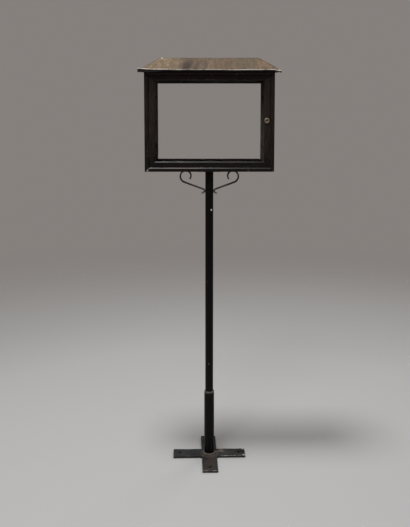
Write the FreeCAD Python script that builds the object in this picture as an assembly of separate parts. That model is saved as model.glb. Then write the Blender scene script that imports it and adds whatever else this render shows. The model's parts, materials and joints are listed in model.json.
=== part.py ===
import FreeCAD, Part
import math
import os

from FreeCAD import Vector

# Glazed menu case on a post that stands in the socket of a cross of flat bars.
# Millimetres and degrees. Origin on the floor under the post,
# +X to the viewer's right, +Y to the back, +Z up. The door is in the front.

# Fits
press_gap = 0.02  # radial, shanks and pins in the piece that grips them
running_gap = 0.05  # radial, pins that turn in a bore
contact_gap = 0.1  # between curved pieces that are held close together

# Base cross
base_bar_length = 320.0
base_arm_span = 310.0  # from the left arm's end to the right arm's
base_bar_width = 65.0
base_bar_thickness = 10.0
base_turn = 1.5  # the cross stands slightly turned under the case
ground_hole_diameter = 12.0
ground_hole_circle = 256.0

# Post and socket
post_diameter = 33.7
post_wall = 3.25
socket_clearance = 0.35  # radial, the post lifts out by hand
socket_wall = 4.0
socket_length = 278.0
socket_weld_leg = 5.0
plug_flange_thickness = 6.0
plug_spigot_length = 14.0
plug_clearance = 0.2

# Post head under the case
head_plate_width = 90.0
head_plate_thickness = 6.0
head_plate_margin = 2.0
head_screw_diameter = 6.0
head_screw_head_diameter = 12.0
head_screw_head_height = 3.0
head_screw_inset = 10.0
head_screw_projection = 2.0
head_hole_clearance = 0.2
head_washer_diameter = 12.0
head_washer_thickness = 1.2
head_nut_size = 10.0  # across flats
head_nut_thickness = 5.0

# Scroll brackets
scroll_thickness = 6.0
scroll_width = 20.0
scroll_offset = 97.5  # post axis to the middle of the loop
scroll_inner_radius = 21.0
scroll_crown_radius = 23.5
scroll_outer_radius = 26.0
scroll_curl = 40.0  # how far the loop's free end passes the level of its middle
scroll_arm_slope = 20.0
scroll_foot_radius = 8.0
scroll_foot_sweep = 140.0
scroll_tail_length = 8.0
scroll_rivet_diameter = 5.0
scroll_rivet_head_diameter = 9.0
scroll_rivet_head_height = 2.5

# Case
case_bottom = 1236.0  # underside above the floor
case_width = 528.0
case_depth = 130.0
sheet_thickness = 2.0
opening_height = 375.5
header_height = 28.5
front_bar_width = 17.0
front_bar_thickness = 6.0
front_leg_depth = 28.0
case_leg_thickness = 3.0
bevel = 4.5
back_stile_width = 47.5
back_rail_width = 46.5
back_header_width = 58.25
back_bar_thickness = 4.0
back_leg_depth = 22.0

# Door
door_gap = 1.5
door_bar_width = 23.5
door_thickness = 7.0
door_leg_depth = 18.0
door_leg_thickness = 3.0
door_stop_thickness = 2.0
door_stop_height = 20.0
door_stop_depth = 16.0
door_stop_lap = 4.5
door_stop_gap = 0.3
door_stop_spacing = 220.0

# Door pivots
pivot_inset = 9.0
pivot_pin_diameter = 5.0
pivot_pin_grip = 18.0  # length of a pin inside the door
pivot_pin_end_gap = 3.5
pivot_block_width = 16.0
pivot_block_depth = 12.0
pivot_block_height = 16.0
pivot_washer_diameter = 8.0

# Glass and its clips
glass_thickness = 3.0
door_glass_lap = 5.0
back_glass_lap = 8.0
clip_thickness = 1.5
clip_width = 14.0
clip_lap = 4.0
clip_edge_gap = 0.5
clip_leg_gap = 4.0
clip_spacing_upright = 200.0
clip_spacing_level = 240.0
clip_screw_diameter = 3.0
clip_screw_head_diameter = 5.5
clip_screw_head_height = 2.0
clip_screw_depth = 2.5

# Latch
latch_rise = 3.25  # above the door's middle
latch_glass_gap = 1.0
spindle_diameter = 6.0
bush_wall = 1.5
rosette_diameter = 16.0
rosette_thickness = 2.0
knob_diameter = 22.0
knob_neck_diameter = 9.0
knob_neck_length = 4.0
knob_length = 12.5
knob_rim = 2.0
knob_dish = 2.6
knob_bore_depth = 7.0
knob_gap = 0.2
cam_thickness = 3.0
cam_width = 12.0
cam_gap = 0.5  # between the cam and the keeper's back face
cam_tip_gap = 2.5
latch_washer_diameter = 11.0
latch_washer_thickness = 1.0
latch_nut_size = 10.0
latch_nut_thickness = 4.0
spindle_projection = 1.0
keeper_thickness = 2.0
keeper_height = 28.0
keeper_clearance = 0.5
keeper_screw_diameter = 3.0
keeper_screw_head_diameter = 5.5
keeper_screw_head_height = 1.5
keeper_screw_spacing = 16.0
keeper_screw_depth = 2.5

# Roof
roof_upright_thickness = 2.2  # of the sheet, measured straight up
roof_seat_gap = 0.3
roof_overhang = 26.5
roof_brim_drop = 10.5
roof_hem_height = 7.0
roof_hem_thickness = 2.0
roof_ridge_length = 406.0
roof_rise = 41.5  # from the fold over the walls to the ridge
cleat_width = 30.0
cleat_thickness = 3.0
cleat_height = 24.0
cleat_reach = 24.0
cleat_spacing = 300.0
roof_screw_diameter = 5.0
roof_screw_head_diameter = 9.0
roof_screw_head_height = 3.0
roof_screw_depth = 3.0

# Places that follow from the sizes above
case_half = case_width / 2
front_y = -case_depth / 2
back_y = case_depth / 2
front_inner_y = front_y + front_bar_thickness
back_inner_y = back_y - back_bar_thickness
side_outer = case_half - case_leg_thickness
side_inner = side_outer - sheet_thickness
floor_low = case_bottom + case_leg_thickness
floor_high = floor_low + sheet_thickness
opening_half = case_half - front_bar_width
opening_low = case_bottom + front_bar_width
opening_high = opening_low + opening_height
wall_high = opening_high + header_height
roof_seat = wall_high + roof_seat_gap

door_half = opening_half - door_gap
door_low = opening_low + door_gap
door_high = opening_high - door_gap
door_middle = (door_low + door_high) / 2
sight_half = door_half - door_bar_width
sight_low = door_low + door_bar_width
sight_high = door_high - door_bar_width
door_front_y = front_inner_y
door_back_y = door_front_y + door_thickness
door_rear_y = door_front_y + door_leg_depth
door_glass_half = sight_half + door_glass_lap
door_glass_half_height = (sight_high - sight_low) / 2 + door_glass_lap
back_sight_half = case_half - back_stile_width
back_sight_low = case_bottom + back_rail_width
back_sight_high = wall_high - back_header_width
back_glass_half = back_sight_half + back_glass_lap
back_glass_half_height = (back_sight_high - back_sight_low) / 2 + back_glass_lap

pivot_x = -door_half + pivot_inset
pivot_y = door_front_y + door_thickness / 2
pivot_bore_radius = pivot_pin_diameter / 2 + running_gap

bush_bore_radius = spindle_diameter / 2 + running_gap
bush_radius = bush_bore_radius + bush_wall
latch_x = door_glass_half + latch_glass_gap + bush_radius
latch_height = door_middle + latch_rise
cam_front_y = door_rear_y + cam_gap
cam_back_y = cam_front_y + cam_thickness
latch_nut_front_y = cam_back_y + latch_washer_thickness
latch_nut_back_y = latch_nut_front_y + latch_nut_thickness
knob_back_y = door_front_y - rosette_thickness - knob_gap
keeper_inner_x = side_inner - keeper_thickness
keeper_screw_y = (door_front_y + door_rear_y) / 2

post_radius = post_diameter / 2
socket_bore_radius = post_radius + socket_clearance
socket_radius = socket_bore_radius + socket_wall
post_low = base_bar_thickness + plug_flange_thickness
head_plate_low = floor_low - head_plate_thickness
head_plate_half_depth = min(-(front_y + front_leg_depth), back_y - back_leg_depth) - head_plate_margin
head_screw_x = head_plate_width / 2 - head_screw_inset
head_screw_y = head_plate_half_depth - head_screw_inset
head_nut_low = floor_high + head_washer_thickness
head_nut_high = head_nut_low + head_nut_thickness

up = Vector(0, 0, 1)
right = Vector(1, 0, 0)
back = Vector(0, 1, 0)


def box(x_range, y_range, z_range):
    size = [high - low for low, high in (x_range, y_range, z_range)]
    return Part.makeBox(*size, Vector(x_range[0], y_range[0], z_range[0]))


def rod(radius, start, direction, length):
    return Part.makeCylinder(radius, length, start, direction)


def tube(outer_radius, inner_radius, start, direction, length):
    return rod(outer_radius, start, direction, length).cut(rod(inner_radius, start, direction, length))


def prism(points, direction):
    return Part.Face(Part.makePolygon(points + points[:1])).extrude(direction)


def hex_nut(across_flats, bore_radius, start, direction, length):
    corner_radius = across_flats / math.sqrt(3)
    outline = [Vector(corner_radius * math.cos(math.radians(a)), corner_radius * math.sin(math.radians(a)), 0)
               for a in range(0, 360, 60)]
    nut = prism(outline, up * length).cut(rod(bore_radius, Vector(), up, length))
    nut.Placement = FreeCAD.Placement(start, FreeCAD.Rotation(up, direction))
    return nut


def pan_screw(diameter, head_diameter, head_height, seat, inward, depth):
    head = rod(head_diameter / 2, seat, inward * -1, head_height)
    return head.fuse(rod(diameter / 2, seat, inward, depth)).removeSplitter()


# Base cross: one bar runs from front to back, an arm is butted to each of its sides

def turn_base(shape):
    return shape.rotated(Vector(), up, base_turn)


def ground_hole(direction):
    place = direction * (ground_hole_circle / 2)
    return rod(ground_hole_diameter / 2, place, up, base_bar_thickness)


def base_bar():
    half_width = base_bar_width / 2
    bar = box((-half_width, half_width), (-base_bar_length / 2, base_bar_length / 2), (0, base_bar_thickness))
    return turn_base(bar.cut(ground_hole(back)).cut(ground_hole(back * -1)))


def base_arm(side):
    half_width = base_bar_width / 2
    reach = sorted((side * half_width, side * base_arm_span / 2))
    arm = box(reach, (-half_width, half_width), (0, base_bar_thickness))
    return turn_base(arm.cut(ground_hole(right * side)))


def socket_tube():
    return tube(socket_radius, socket_bore_radius, up * base_bar_thickness, up, socket_length)


def socket_weld():
    foot = Vector(socket_radius, 0, base_bar_thickness)
    bead = [foot, foot + right * socket_weld_leg, foot + up * socket_weld_leg]
    face = Part.Face(Part.makePolygon(bead + bead[:1]))
    return face.revolve(Vector(), up, 360)


# Post with the loose plug that it stands on

def post_foot_plug():
    spigot_radius = post_radius - post_wall - plug_clearance
    flange = rod(post_radius, up * base_bar_thickness, up, plug_flange_thickness)
    return flange.fuse(rod(spigot_radius, up * post_low, up, plug_spigot_length)).removeSplitter()


def post_tube():
    return tube(post_radius, post_radius - post_wall, up * post_low, up, head_plate_low - post_low)


# Post head: a plate on the post, screwed from below through the case floor

def head_screw_places():
    return [Vector(x, y, 0) for x in (-head_screw_x, head_screw_x) for y in (-head_screw_y, head_screw_y)]


def head_hole(place):
    clearance = head_hole_clearance
    sink = Part.makeCone(head_screw_head_diameter / 2 + clearance, head_screw_diameter / 2 + clearance,
                         head_screw_head_height, place + up * head_plate_low, up)
    shank = rod(head_screw_diameter / 2 + clearance, place + up * head_plate_low, up,
                floor_high - head_plate_low)
    return sink.fuse(shank)


def head_plate():
    half_width = head_plate_width / 2
    plate = box((-half_width, half_width), (-head_plate_half_depth, head_plate_half_depth),
                (head_plate_low, floor_low))
    for place in head_screw_places():
        plate = plate.cut(head_hole(place))
    return plate


def head_screws():
    length = head_nut_high + head_screw_projection - head_plate_low
    screws = []
    for place in head_screw_places():
        start = place + up * head_plate_low
        head = Part.makeCone(head_screw_head_diameter / 2, head_screw_diameter / 2, head_screw_head_height,
                             start, up)
        screws.append(head.fuse(rod(head_screw_diameter / 2, start, up, length)).removeSplitter())
    return Part.makeCompound(screws)


def head_washers():
    return Part.makeCompound([
        tube(head_washer_diameter / 2, head_screw_diameter / 2 + head_hole_clearance,
             place + up * floor_high, up, head_washer_thickness)
        for place in head_screw_places()])


def head_nuts():
    return Part.makeCompound([
        hex_nut(head_nut_size, head_screw_diameter / 2 + press_gap, place + up * head_nut_low, up,
                head_nut_thickness)
        for place in head_screw_places()])


# Scroll bracket: a flat bar bent along arcs and straight runs that all meet smoothly

def bent_bar(start, heading, moves, thickness):
    # Each move is (length, 0) for a straight run or (radius, turn) for an arc, left turns counted positive.
    # Returns the outline's face in the XZ plane, half the thickness to each side of the path.
    half = thickness / 2
    point = start
    left_edges = []
    right_edges = []

    def ahead(angle):
        return Vector(math.cos(math.radians(angle)), 0, math.sin(math.radians(angle)))

    def beside(where, angle, distance):
        return where + ahead(angle + 90) * distance

    first_cap = (beside(point, heading, half), beside(point, heading, -half))
    for size, turn in moves:
        if turn == 0:
            end = point + ahead(heading) * size
            for edges, offset in ((left_edges, half), (right_edges, -half)):
                edges.append(Part.LineSegment(beside(point, heading, offset),
                                              beside(end, heading, offset)).toShape())
            point = end
            continue
        hand = math.copysign(1, turn)
        centre = beside(point, heading, hand * size)
        for edges, offset in ((left_edges, half), (right_edges, -half)):
            reach = hand * size - offset
            corners = [beside(centre, heading + turn * share, -reach) for share in (0, 0.5, 1)]
            edges.append(Part.Arc(*corners).toShape())
        heading = heading + turn
        point = beside(centre, heading, -hand * size)
    last_cap = (beside(point, heading, half), beside(point, heading, -half))
    caps = [Part.LineSegment(*first_cap).toShape(), Part.LineSegment(*last_cap).toShape()]
    wire = Part.Wire(Part.__sortEdges__(left_edges + right_edges + caps))
    return Part.Face(wire)


def scroll_left():
    half = scroll_thickness / 2
    crown_z = floor_low - contact_gap - half
    loop_middle = Vector(-scroll_offset, 0, crown_z - scroll_inner_radius)
    start = loop_middle + Vector(math.cos(math.radians(scroll_curl)), 0,
                                 -math.sin(math.radians(scroll_curl))) * scroll_inner_radius
    loop_out_turn = 90 - scroll_arm_slope
    # The straight arm ends where the foot's arc starts, and that arc touches the post with its outer face
    loop_out_x = (-scroll_offset - scroll_crown_radius + scroll_outer_radius
                  - scroll_outer_radius * math.sin(math.radians(scroll_arm_slope)))
    foot_start_x = (-post_radius - contact_gap - half
                    - scroll_foot_radius * (1 - math.sin(math.radians(scroll_arm_slope))))
    arm_length = (foot_start_x - loop_out_x) / math.cos(math.radians(scroll_arm_slope))
    moves = [(scroll_inner_radius, 90 + scroll_curl),
             (scroll_crown_radius, 90),
             (scroll_outer_radius, loop_out_turn),
             (arm_length, 0),
             (scroll_foot_radius, -scroll_foot_sweep),
             (scroll_tail_length, 0)]
    face = bent_bar(start, 90 - scroll_curl, moves, scroll_thickness)
    face.translate(back * (-scroll_width / 2))
    bar = face.extrude(back * scroll_width)
    return bar.cut(scroll_rivet_hole(-1))


def scroll_rivet_hole(side):
    start = Vector(side * scroll_offset, 0, floor_low - 2 * scroll_thickness)
    return rod(scroll_rivet_diameter / 2 + press_gap, start, up, floor_high - start.z)


def scroll_right():
    return scroll_left().mirror(Vector(), right)


def scroll_rivets():
    bar_inside_z = floor_low - contact_gap - scroll_thickness
    head_radius = scroll_rivet_head_diameter / 2
    rivets = []
    for side, scroll in ((-1, scroll_left()), (1, scroll_right())):
        low = Vector(side * scroll_offset, 0, bar_inside_z - scroll_rivet_head_height)
        high = Vector(side * scroll_offset, 0, floor_high)
        lower_head = rod(head_radius, low, up, scroll_rivet_head_height).cut(scroll)
        shank = rod(scroll_rivet_diameter / 2, low, up, floor_high - low.z)
        upper_head = rod(head_radius, high, up, scroll_rivet_head_height)
        rivets.append(lower_head.fuse(shank).fuse(upper_head).removeSplitter())
    return Part.makeCompound(rivets)


# Frames: one ring of angle section, split into four bars along 45 degree mitres

def angle_ring(outer, inner, face_range, leg_rear, leg_thickness, has_top_leg):
    # outer and inner are (half width, low, high); the face plate lies in face_range and the legs
    # run along its outer edges to leg_rear
    outer_half, outer_low, outer_high = outer
    inner_half, inner_low, inner_high = inner
    plate = box((-outer_half, outer_half), face_range, (outer_low, outer_high))
    plate = plate.cut(box((-inner_half, inner_half), face_range, (inner_low, inner_high)))
    legs_range = sorted((face_range[0], face_range[1], leg_rear))
    legs_range = (legs_range[0], legs_range[-1])
    legs_high = outer_high - leg_thickness if has_top_leg else outer_high
    legs = box((-outer_half, outer_half), legs_range, (outer_low, outer_high))
    legs = legs.cut(box((-outer_half + leg_thickness, outer_half - leg_thickness), legs_range,
                        (outer_low + leg_thickness, legs_high)))
    return plate.fuse(legs).removeSplitter()


def bevel_cutter(inner, face_y, depth_direction):
    # Four-sided funnel: the opening itself at the bevel's depth, wider by the bevel at the face
    half, low, high = inner

    def rectangle(grow, y):
        corners = [Vector(-half - grow, y, low - grow), Vector(half + grow, y, low - grow),
                   Vector(half + grow, y, high + grow), Vector(-half - grow, y, high + grow)]
        return Part.makePolygon(corners + corners[:1])

    return Part.makeLoft([rectangle(bevel, face_y), rectangle(0, face_y + depth_direction * bevel)], True, True)


def frame_corners(rectangle, y):
    half, low, high = rectangle
    return [Vector(-half, y, low), Vector(half, y, low), Vector(half, y, high), Vector(-half, y, high)]


def mitred_bars(ring, outer, inner):
    # Every mitre runs from a corner of the opening out through the frame's own corner
    bounds = ring.BoundBox
    near = frame_corners(inner, bounds.YMin)
    far = [a + (b - a) * 2 for a, b in zip(near, frame_corners(outer, bounds.YMin))]
    bars = {}
    for i, side in enumerate(("bottom", "right", "top", "left")):
        j = (i + 1) % 4
        bars[side] = ring.common(prism([near[i], near[j], far[j], far[i]], back * bounds.YLength))
    return bars


def front_bars():
    outer = (case_half, case_bottom, wall_high)
    inner = (opening_half, opening_low, opening_high)
    ring = angle_ring(outer, inner, (front_y, front_inner_y), front_y + front_leg_depth,
                      case_leg_thickness, False)
    ring = ring.cut(bevel_cutter(inner, front_y, 1))
    for hole in roof_screw_holes(-1) + keeper_screw_holes():
        ring = ring.cut(hole)
    return mitred_bars(ring, outer, inner)


def back_bars():
    outer = (case_half, case_bottom, wall_high)
    inner = (back_sight_half, back_sight_low, back_sight_high)
    ring = angle_ring(outer, inner, (back_inner_y, back_y), back_y - back_leg_depth,
                      case_leg_thickness, False)
    for hole in roof_screw_holes(1) + clip_screw_holes(back_glass_frame()):
        ring = ring.cut(hole)
    return mitred_bars(ring, outer, inner)


def door_bars():
    outer = (door_half, door_low, door_high)
    inner = (sight_half, sight_low, sight_high)
    ring = angle_ring(outer, inner, (door_front_y, door_back_y), door_rear_y, door_leg_thickness, True)
    ring = ring.cut(bevel_cutter(inner, door_front_y, 1))
    pin_radius = pivot_pin_diameter / 2 + press_gap
    low_pin = Vector(pivot_x, pivot_y, door_low)
    high_pin = Vector(pivot_x, pivot_y, door_high)
    ring = ring.cut(rod(pin_radius, low_pin, up, pivot_pin_grip))
    ring = ring.cut(rod(pin_radius, high_pin, up * -1, pivot_pin_grip))
    ring = ring.cut(rod(bush_bore_radius, Vector(latch_x, door_front_y, latch_height), back, door_thickness))
    for hole in clip_screw_holes(door_glass_frame()):
        ring = ring.cut(hole)
    return mitred_bars(ring, outer, inner)


# Case sheets

def case_floor():
    sheet = box((-side_inner, side_inner), (front_inner_y, back_inner_y), (floor_low, floor_high))
    for place in head_screw_places():
        sheet = sheet.cut(head_hole(place))
    for side in (-1, 1):
        sheet = sheet.cut(scroll_rivet_hole(side))
    return sheet


def case_side(side):
    sheet = box(sorted((side * side_inner, side * side_outer)), (front_inner_y, back_inner_y),
                (floor_low, wall_high))
    if side > 0:
        for hole in keeper_screw_holes():
            sheet = sheet.cut(hole)
    return sheet


# Glass panes, held by bent clips and small screws on the inner side of their frames

def door_glass_frame():
    middle = Vector(0, door_back_y, (sight_low + sight_high) / 2)
    return middle, back, door_glass_half, door_glass_half_height


def back_glass_frame():
    middle = Vector(0, back_inner_y, (back_sight_low + back_sight_high) / 2)
    return middle, back * -1, back_glass_half, back_glass_half_height


def glass_pane(frame):
    middle, inward, half_width, half_height = frame
    depth = sorted((middle.y, middle.y + inward.y * glass_thickness))
    return box((-half_width, half_width), depth, (middle.z - half_height, middle.z + half_height))


def clip_foot_length():
    return door_half - door_leg_thickness - clip_leg_gap - door_glass_half - clip_edge_gap


def clip_places(frame):
    # One entry per clip: the point of the pane's edge, the way out of the pane and the way along it
    middle, inward, half_width, half_height = frame
    places = []
    for sign in (-1, 1):
        for step in (-0.5, 0.5):
            upright = middle + right * (sign * half_width) + up * (step * clip_spacing_upright)
            places.append((upright, right * sign, up))
            level = middle + up * (sign * half_height) + right * (step * clip_spacing_level)
            places.append((level, up * sign, right))
    return places


def glass_clip(frame, place):
    edge, outward, along = place
    inward = frame[1]
    riser = clip_edge_gap
    foot_end = riser + clip_foot_length()
    rise = glass_thickness
    profile = [(riser, 0), (foot_end, 0), (foot_end, clip_thickness), (riser + clip_thickness, clip_thickness),
               (riser + clip_thickness, rise + clip_thickness), (-clip_lap, rise + clip_thickness),
               (-clip_lap, rise), (riser, rise)]
    start = edge - along * (clip_width / 2)
    outline = [start + outward * u + inward * w for u, w in profile]
    return prism(outline, along * clip_width).cut(clip_screw_hole(frame, place))


def clip_screw_seat(frame, place):
    edge, outward, along = place
    reach = clip_edge_gap + (clip_thickness + clip_foot_length()) / 2
    return edge + outward * reach + frame[1] * clip_thickness


def clip_screw_hole(frame, place):
    return rod(clip_screw_diameter / 2 + press_gap, clip_screw_seat(frame, place), frame[1] * -1,
               clip_thickness + clip_screw_depth)


def clip_screw_holes(frame):
    return [clip_screw_hole(frame, place) for place in clip_places(frame)]


def glass_clips(frame):
    return Part.makeCompound([glass_clip(frame, place) for place in clip_places(frame)])


def clip_screws(frame):
    return Part.makeCompound([
        pan_screw(clip_screw_diameter, clip_screw_head_diameter, clip_screw_head_height,
                  clip_screw_seat(frame, place), frame[1] * -1, clip_thickness + clip_screw_depth)
        for place in clip_places(frame)])


# Door pivots: pins fixed in the door turn in blocks behind the front frame

def pivot_block(low, high):
    half_width = pivot_block_width / 2
    block = box((pivot_x - half_width, pivot_x + half_width),
                (front_inner_y, front_inner_y + pivot_block_depth), (low, high))
    return block.cut(rod(pivot_bore_radius, Vector(pivot_x, pivot_y, low), up, high - low))


def pivot_pin_bottom():
    low = floor_high + pivot_pin_end_gap
    return rod(pivot_pin_diameter / 2, Vector(pivot_x, pivot_y, low), up, door_low + pivot_pin_grip - low)


def pivot_pin_top():
    low = door_high - pivot_pin_grip
    high = opening_high + pivot_block_height
    return rod(pivot_pin_diameter / 2, Vector(pivot_x, pivot_y, low), up, high - low)


def pivot_washer():
    return tube(pivot_washer_diameter / 2, pivot_bore_radius, Vector(pivot_x, pivot_y, opening_low), up, door_gap)


def door_stops():
    near_y = door_rear_y + door_stop_gap
    stops = []
    for step in (-0.5, 0.5):
        z = door_middle + step * door_stop_spacing
        height = (z - door_stop_height / 2, z + door_stop_height / 2)
        tab = box((door_half - door_stop_lap, side_inner), (near_y, near_y + door_stop_thickness), height)
        web = box((side_inner - door_stop_thickness, side_inner), (near_y, near_y + door_stop_depth), height)
        stops.append(tab.fuse(web).removeSplitter())
    return Part.makeCompound(stops)


# Latch: the knob turns a cam on a spindle; the cam hangs free and swings behind the keeper

def latch_point(y):
    return Vector(latch_x, y, latch_height)


def knob():
    radius = knob_diameter / 2
    neck = knob_neck_diameter / 2
    front = -knob_length
    rim_y = front + knob_rim
    swell_y = -knob_neck_length
    points = {"back": Vector(), "neck_back": Vector(neck, 0, 0), "neck_front": Vector(neck, swell_y, 0),
              "side_back": Vector(radius, (swell_y + rim_y) / 2, 0), "side_front": Vector(radius, rim_y, 0),
              "rim": Vector(radius - knob_rim, front, 0), "dish": Vector(0, front + knob_dish, 0)}
    swell_middle = Vector((neck + radius) / 2 + knob_rim / 2, swell_y - knob_rim / 2, 0)
    rim_turn = knob_rim * math.sqrt(0.5)
    rim_middle = Vector(radius - knob_rim + rim_turn, rim_y - rim_turn, 0)
    # The dish is part of a sphere whose centre lies on the axis in front of the knob
    dish_edge = radius - knob_rim
    dish_radius = (dish_edge ** 2 + knob_dish ** 2) / (2 * knob_dish)
    half_spread = math.asin(dish_edge / dish_radius) / 2
    dish_middle = Vector(dish_radius * math.sin(half_spread),
                         front + knob_dish - dish_radius * (1 - math.cos(half_spread)), 0)
    edges = [Part.LineSegment(points["back"], points["neck_back"]),
             Part.LineSegment(points["neck_back"], points["neck_front"]),
             Part.Arc(points["neck_front"], swell_middle, points["side_back"]),
             Part.LineSegment(points["side_back"], points["side_front"]),
             Part.Arc(points["side_front"], rim_middle, points["rim"]),
             Part.Arc(points["rim"], dish_middle, points["dish"]),
             Part.LineSegment(points["dish"], points["back"])]
    face = Part.Face(Part.Wire([edge.toShape() for edge in edges]))
    solid = face.revolve(Vector(), back, 360)
    solid = solid.cut(rod(spindle_diameter / 2 + press_gap, Vector(), back * -1, knob_bore_depth))
    solid.translate(latch_point(knob_back_y))
    return solid


def knob_rosette():
    return tube(rosette_diameter / 2, bush_bore_radius, latch_point(door_front_y), back * -1, rosette_thickness)


def latch_spindle():
    front = knob_back_y - knob_bore_depth
    return rod(spindle_diameter / 2, latch_point(front), back, latch_nut_back_y + spindle_projection - front)


def latch_bush():
    length = cam_front_y - contact_gap - door_back_y
    return tube(bush_radius, bush_bore_radius, latch_point(door_back_y), back, length)


def latch_cam():
    half_width = cam_width / 2
    reach = keeper_inner_x - cam_tip_gap - latch_x
    centre = latch_point(cam_front_y)
    tip = centre - up * (reach - half_width)
    arm = box((latch_x - half_width, latch_x + half_width), (cam_front_y, cam_back_y), (tip.z, latch_height))
    hub = rod(half_width, centre, back, cam_thickness)
    end = rod(half_width, tip, back, cam_thickness)
    bore = rod(spindle_diameter / 2 + press_gap, centre, back, cam_thickness)
    return arm.fuse(hub).fuse(end).removeSplitter().cut(bore)


def latch_washer():
    return tube(latch_washer_diameter / 2, spindle_diameter / 2 + press_gap, latch_point(cam_back_y), back,
                latch_washer_thickness)


def latch_nut():
    return hex_nut(latch_nut_size, spindle_diameter / 2 + press_gap, latch_point(latch_nut_front_y), back,
                   latch_nut_thickness)


def keeper_screw_seats():
    return [Vector(keeper_inner_x, keeper_screw_y, latch_height + step * keeper_screw_spacing)
            for step in (-0.5, 0.5)]


def keeper_screw_holes():
    length = keeper_thickness + sheet_thickness + keeper_screw_depth
    return [rod(keeper_screw_diameter / 2 + press_gap, seat, right, length) for seat in keeper_screw_seats()]


def latch_keeper():
    height = (latch_height - keeper_height / 2, latch_height + keeper_height / 2)
    web = box((keeper_inner_x, side_inner), (door_front_y + keeper_clearance, door_rear_y), height)
    flange = box((opening_half + keeper_clearance, side_inner), (door_rear_y - keeper_thickness, door_rear_y),
                 height)
    keeper = web.fuse(flange).removeSplitter()
    for hole in keeper_screw_holes():
        keeper = keeper.cut(hole)
    return keeper


def keeper_screws():
    length = keeper_thickness + sheet_thickness + keeper_screw_depth
    return Part.makeCompound([
        pan_screw(keeper_screw_diameter, keeper_screw_head_diameter, keeper_screw_head_height, seat, right, length)
        for seat in keeper_screw_seats()])


# Roof: hipped sheet, folded to a flatter brim over the walls, with a turned-down hem

def roof_rectangle(half_width, half_depth, z):
    return [Vector(-half_width, -half_depth, z), Vector(half_width, -half_depth, z),
            Vector(half_width, half_depth, z), Vector(-half_width, half_depth, z)]


def roof_skin(drop, hem_in):
    # Rings of corners from the hem's lower edge up to the fold, and the two ends of the ridge
    fold_z = roof_seat + roof_upright_thickness - drop
    reach = roof_overhang - hem_in
    brim_z = fold_z - roof_brim_drop * reach / roof_overhang
    hem_z = roof_seat + roof_upright_thickness - roof_brim_drop - roof_hem_height
    half_depth = case_depth / 2
    rings = [roof_rectangle(case_half + reach, half_depth + reach, hem_z),
             roof_rectangle(case_half + reach, half_depth + reach, brim_z),
             roof_rectangle(case_half, half_depth, fold_z)]
    ridge = [Vector(side * roof_ridge_length / 2, 0, fold_z + roof_rise) for side in (-1, 1)]
    return rings, ridge


def roof_sheet():
    def facet(*corners):
        return Part.Face(Part.makePolygon(list(corners) + [corners[0]]))

    faces = []
    skins = [roof_skin(0, 0), roof_skin(roof_upright_thickness, roof_hem_thickness)]
    for rings, ridge in skins:
        for low, high in zip(rings, rings[1:]):
            for i in range(4):
                j = (i + 1) % 4
                faces.append(facet(low[i], low[j], high[j], high[i]))
        front_left, front_right, back_right, back_left = rings[-1]
        faces.append(facet(front_left, front_right, ridge[1], ridge[0]))
        faces.append(facet(back_right, back_left, ridge[0], ridge[1]))
        faces.append(facet(front_right, back_right, ridge[1]))
        faces.append(facet(back_left, front_left, ridge[0]))
    outer_hem = skins[0][0][0]
    inner_hem = skins[1][0][0]
    for i in range(4):
        j = (i + 1) % 4
        faces.append(facet(outer_hem[i], outer_hem[j], inner_hem[j], inner_hem[i]))
    solid = Part.Solid(Part.Shell(faces))
    if solid.Volume < 0:
        solid.reverse()
    return solid


def roof_underside(distance_in):
    # Height of the long slopes' lower side, counted inward from the wall's outer face
    return roof_seat + roof_rise * distance_in / (case_depth / 2)


def cleat_places(end):
    wall = front_inner_y if end < 0 else back_inner_y
    return [Vector(step * cleat_spacing, wall, 0) for step in (-0.5, 0.5)]


def roof_cleat(place, end):
    inset = case_depth / 2 - abs(place.y)
    slope_drop = cleat_thickness * math.hypot(1, roof_rise / (case_depth / 2))
    low = roof_underside(inset) - cleat_height
    thick = inset + cleat_thickness
    tip = inset + cleat_reach
    profile = [(inset, low), (inset, roof_underside(inset)), (tip, roof_underside(tip)),
               (tip, roof_underside(tip) - slope_drop), (thick, roof_underside(thick) - slope_drop), (thick, low)]
    start_x = place.x - cleat_width / 2
    outline = [Vector(start_x, end * (case_depth / 2 - inward), z) for inward, z in profile]
    cleat = prism(outline, right * cleat_width)
    return cleat.cut(roof_screw_hole(place, end))


def roof_screw_seat(place, end):
    inset = case_depth / 2 - abs(place.y)
    low = roof_underside(inset) - cleat_height
    return Vector(place.x, place.y - end * cleat_thickness, (low + wall_high) / 2)


def roof_screw_hole(place, end):
    return rod(roof_screw_diameter / 2 + press_gap, roof_screw_seat(place, end), back * end,
               cleat_thickness + roof_screw_depth)


def roof_screw_holes(end):
    return [roof_screw_hole(place, end) for place in cleat_places(end)]


def roof_cleats():
    return Part.makeCompound([roof_cleat(place, end) for end in (-1, 1) for place in cleat_places(end)])


def roof_screws():
    return Part.makeCompound([
        pan_screw(roof_screw_diameter, roof_screw_head_diameter, roof_screw_head_height,
                  roof_screw_seat(place, end), back * end, cleat_thickness + roof_screw_depth)
        for end in (-1, 1) for place in cleat_places(end)])


front = front_bars()
rear = back_bars()
door = door_bars()

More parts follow.
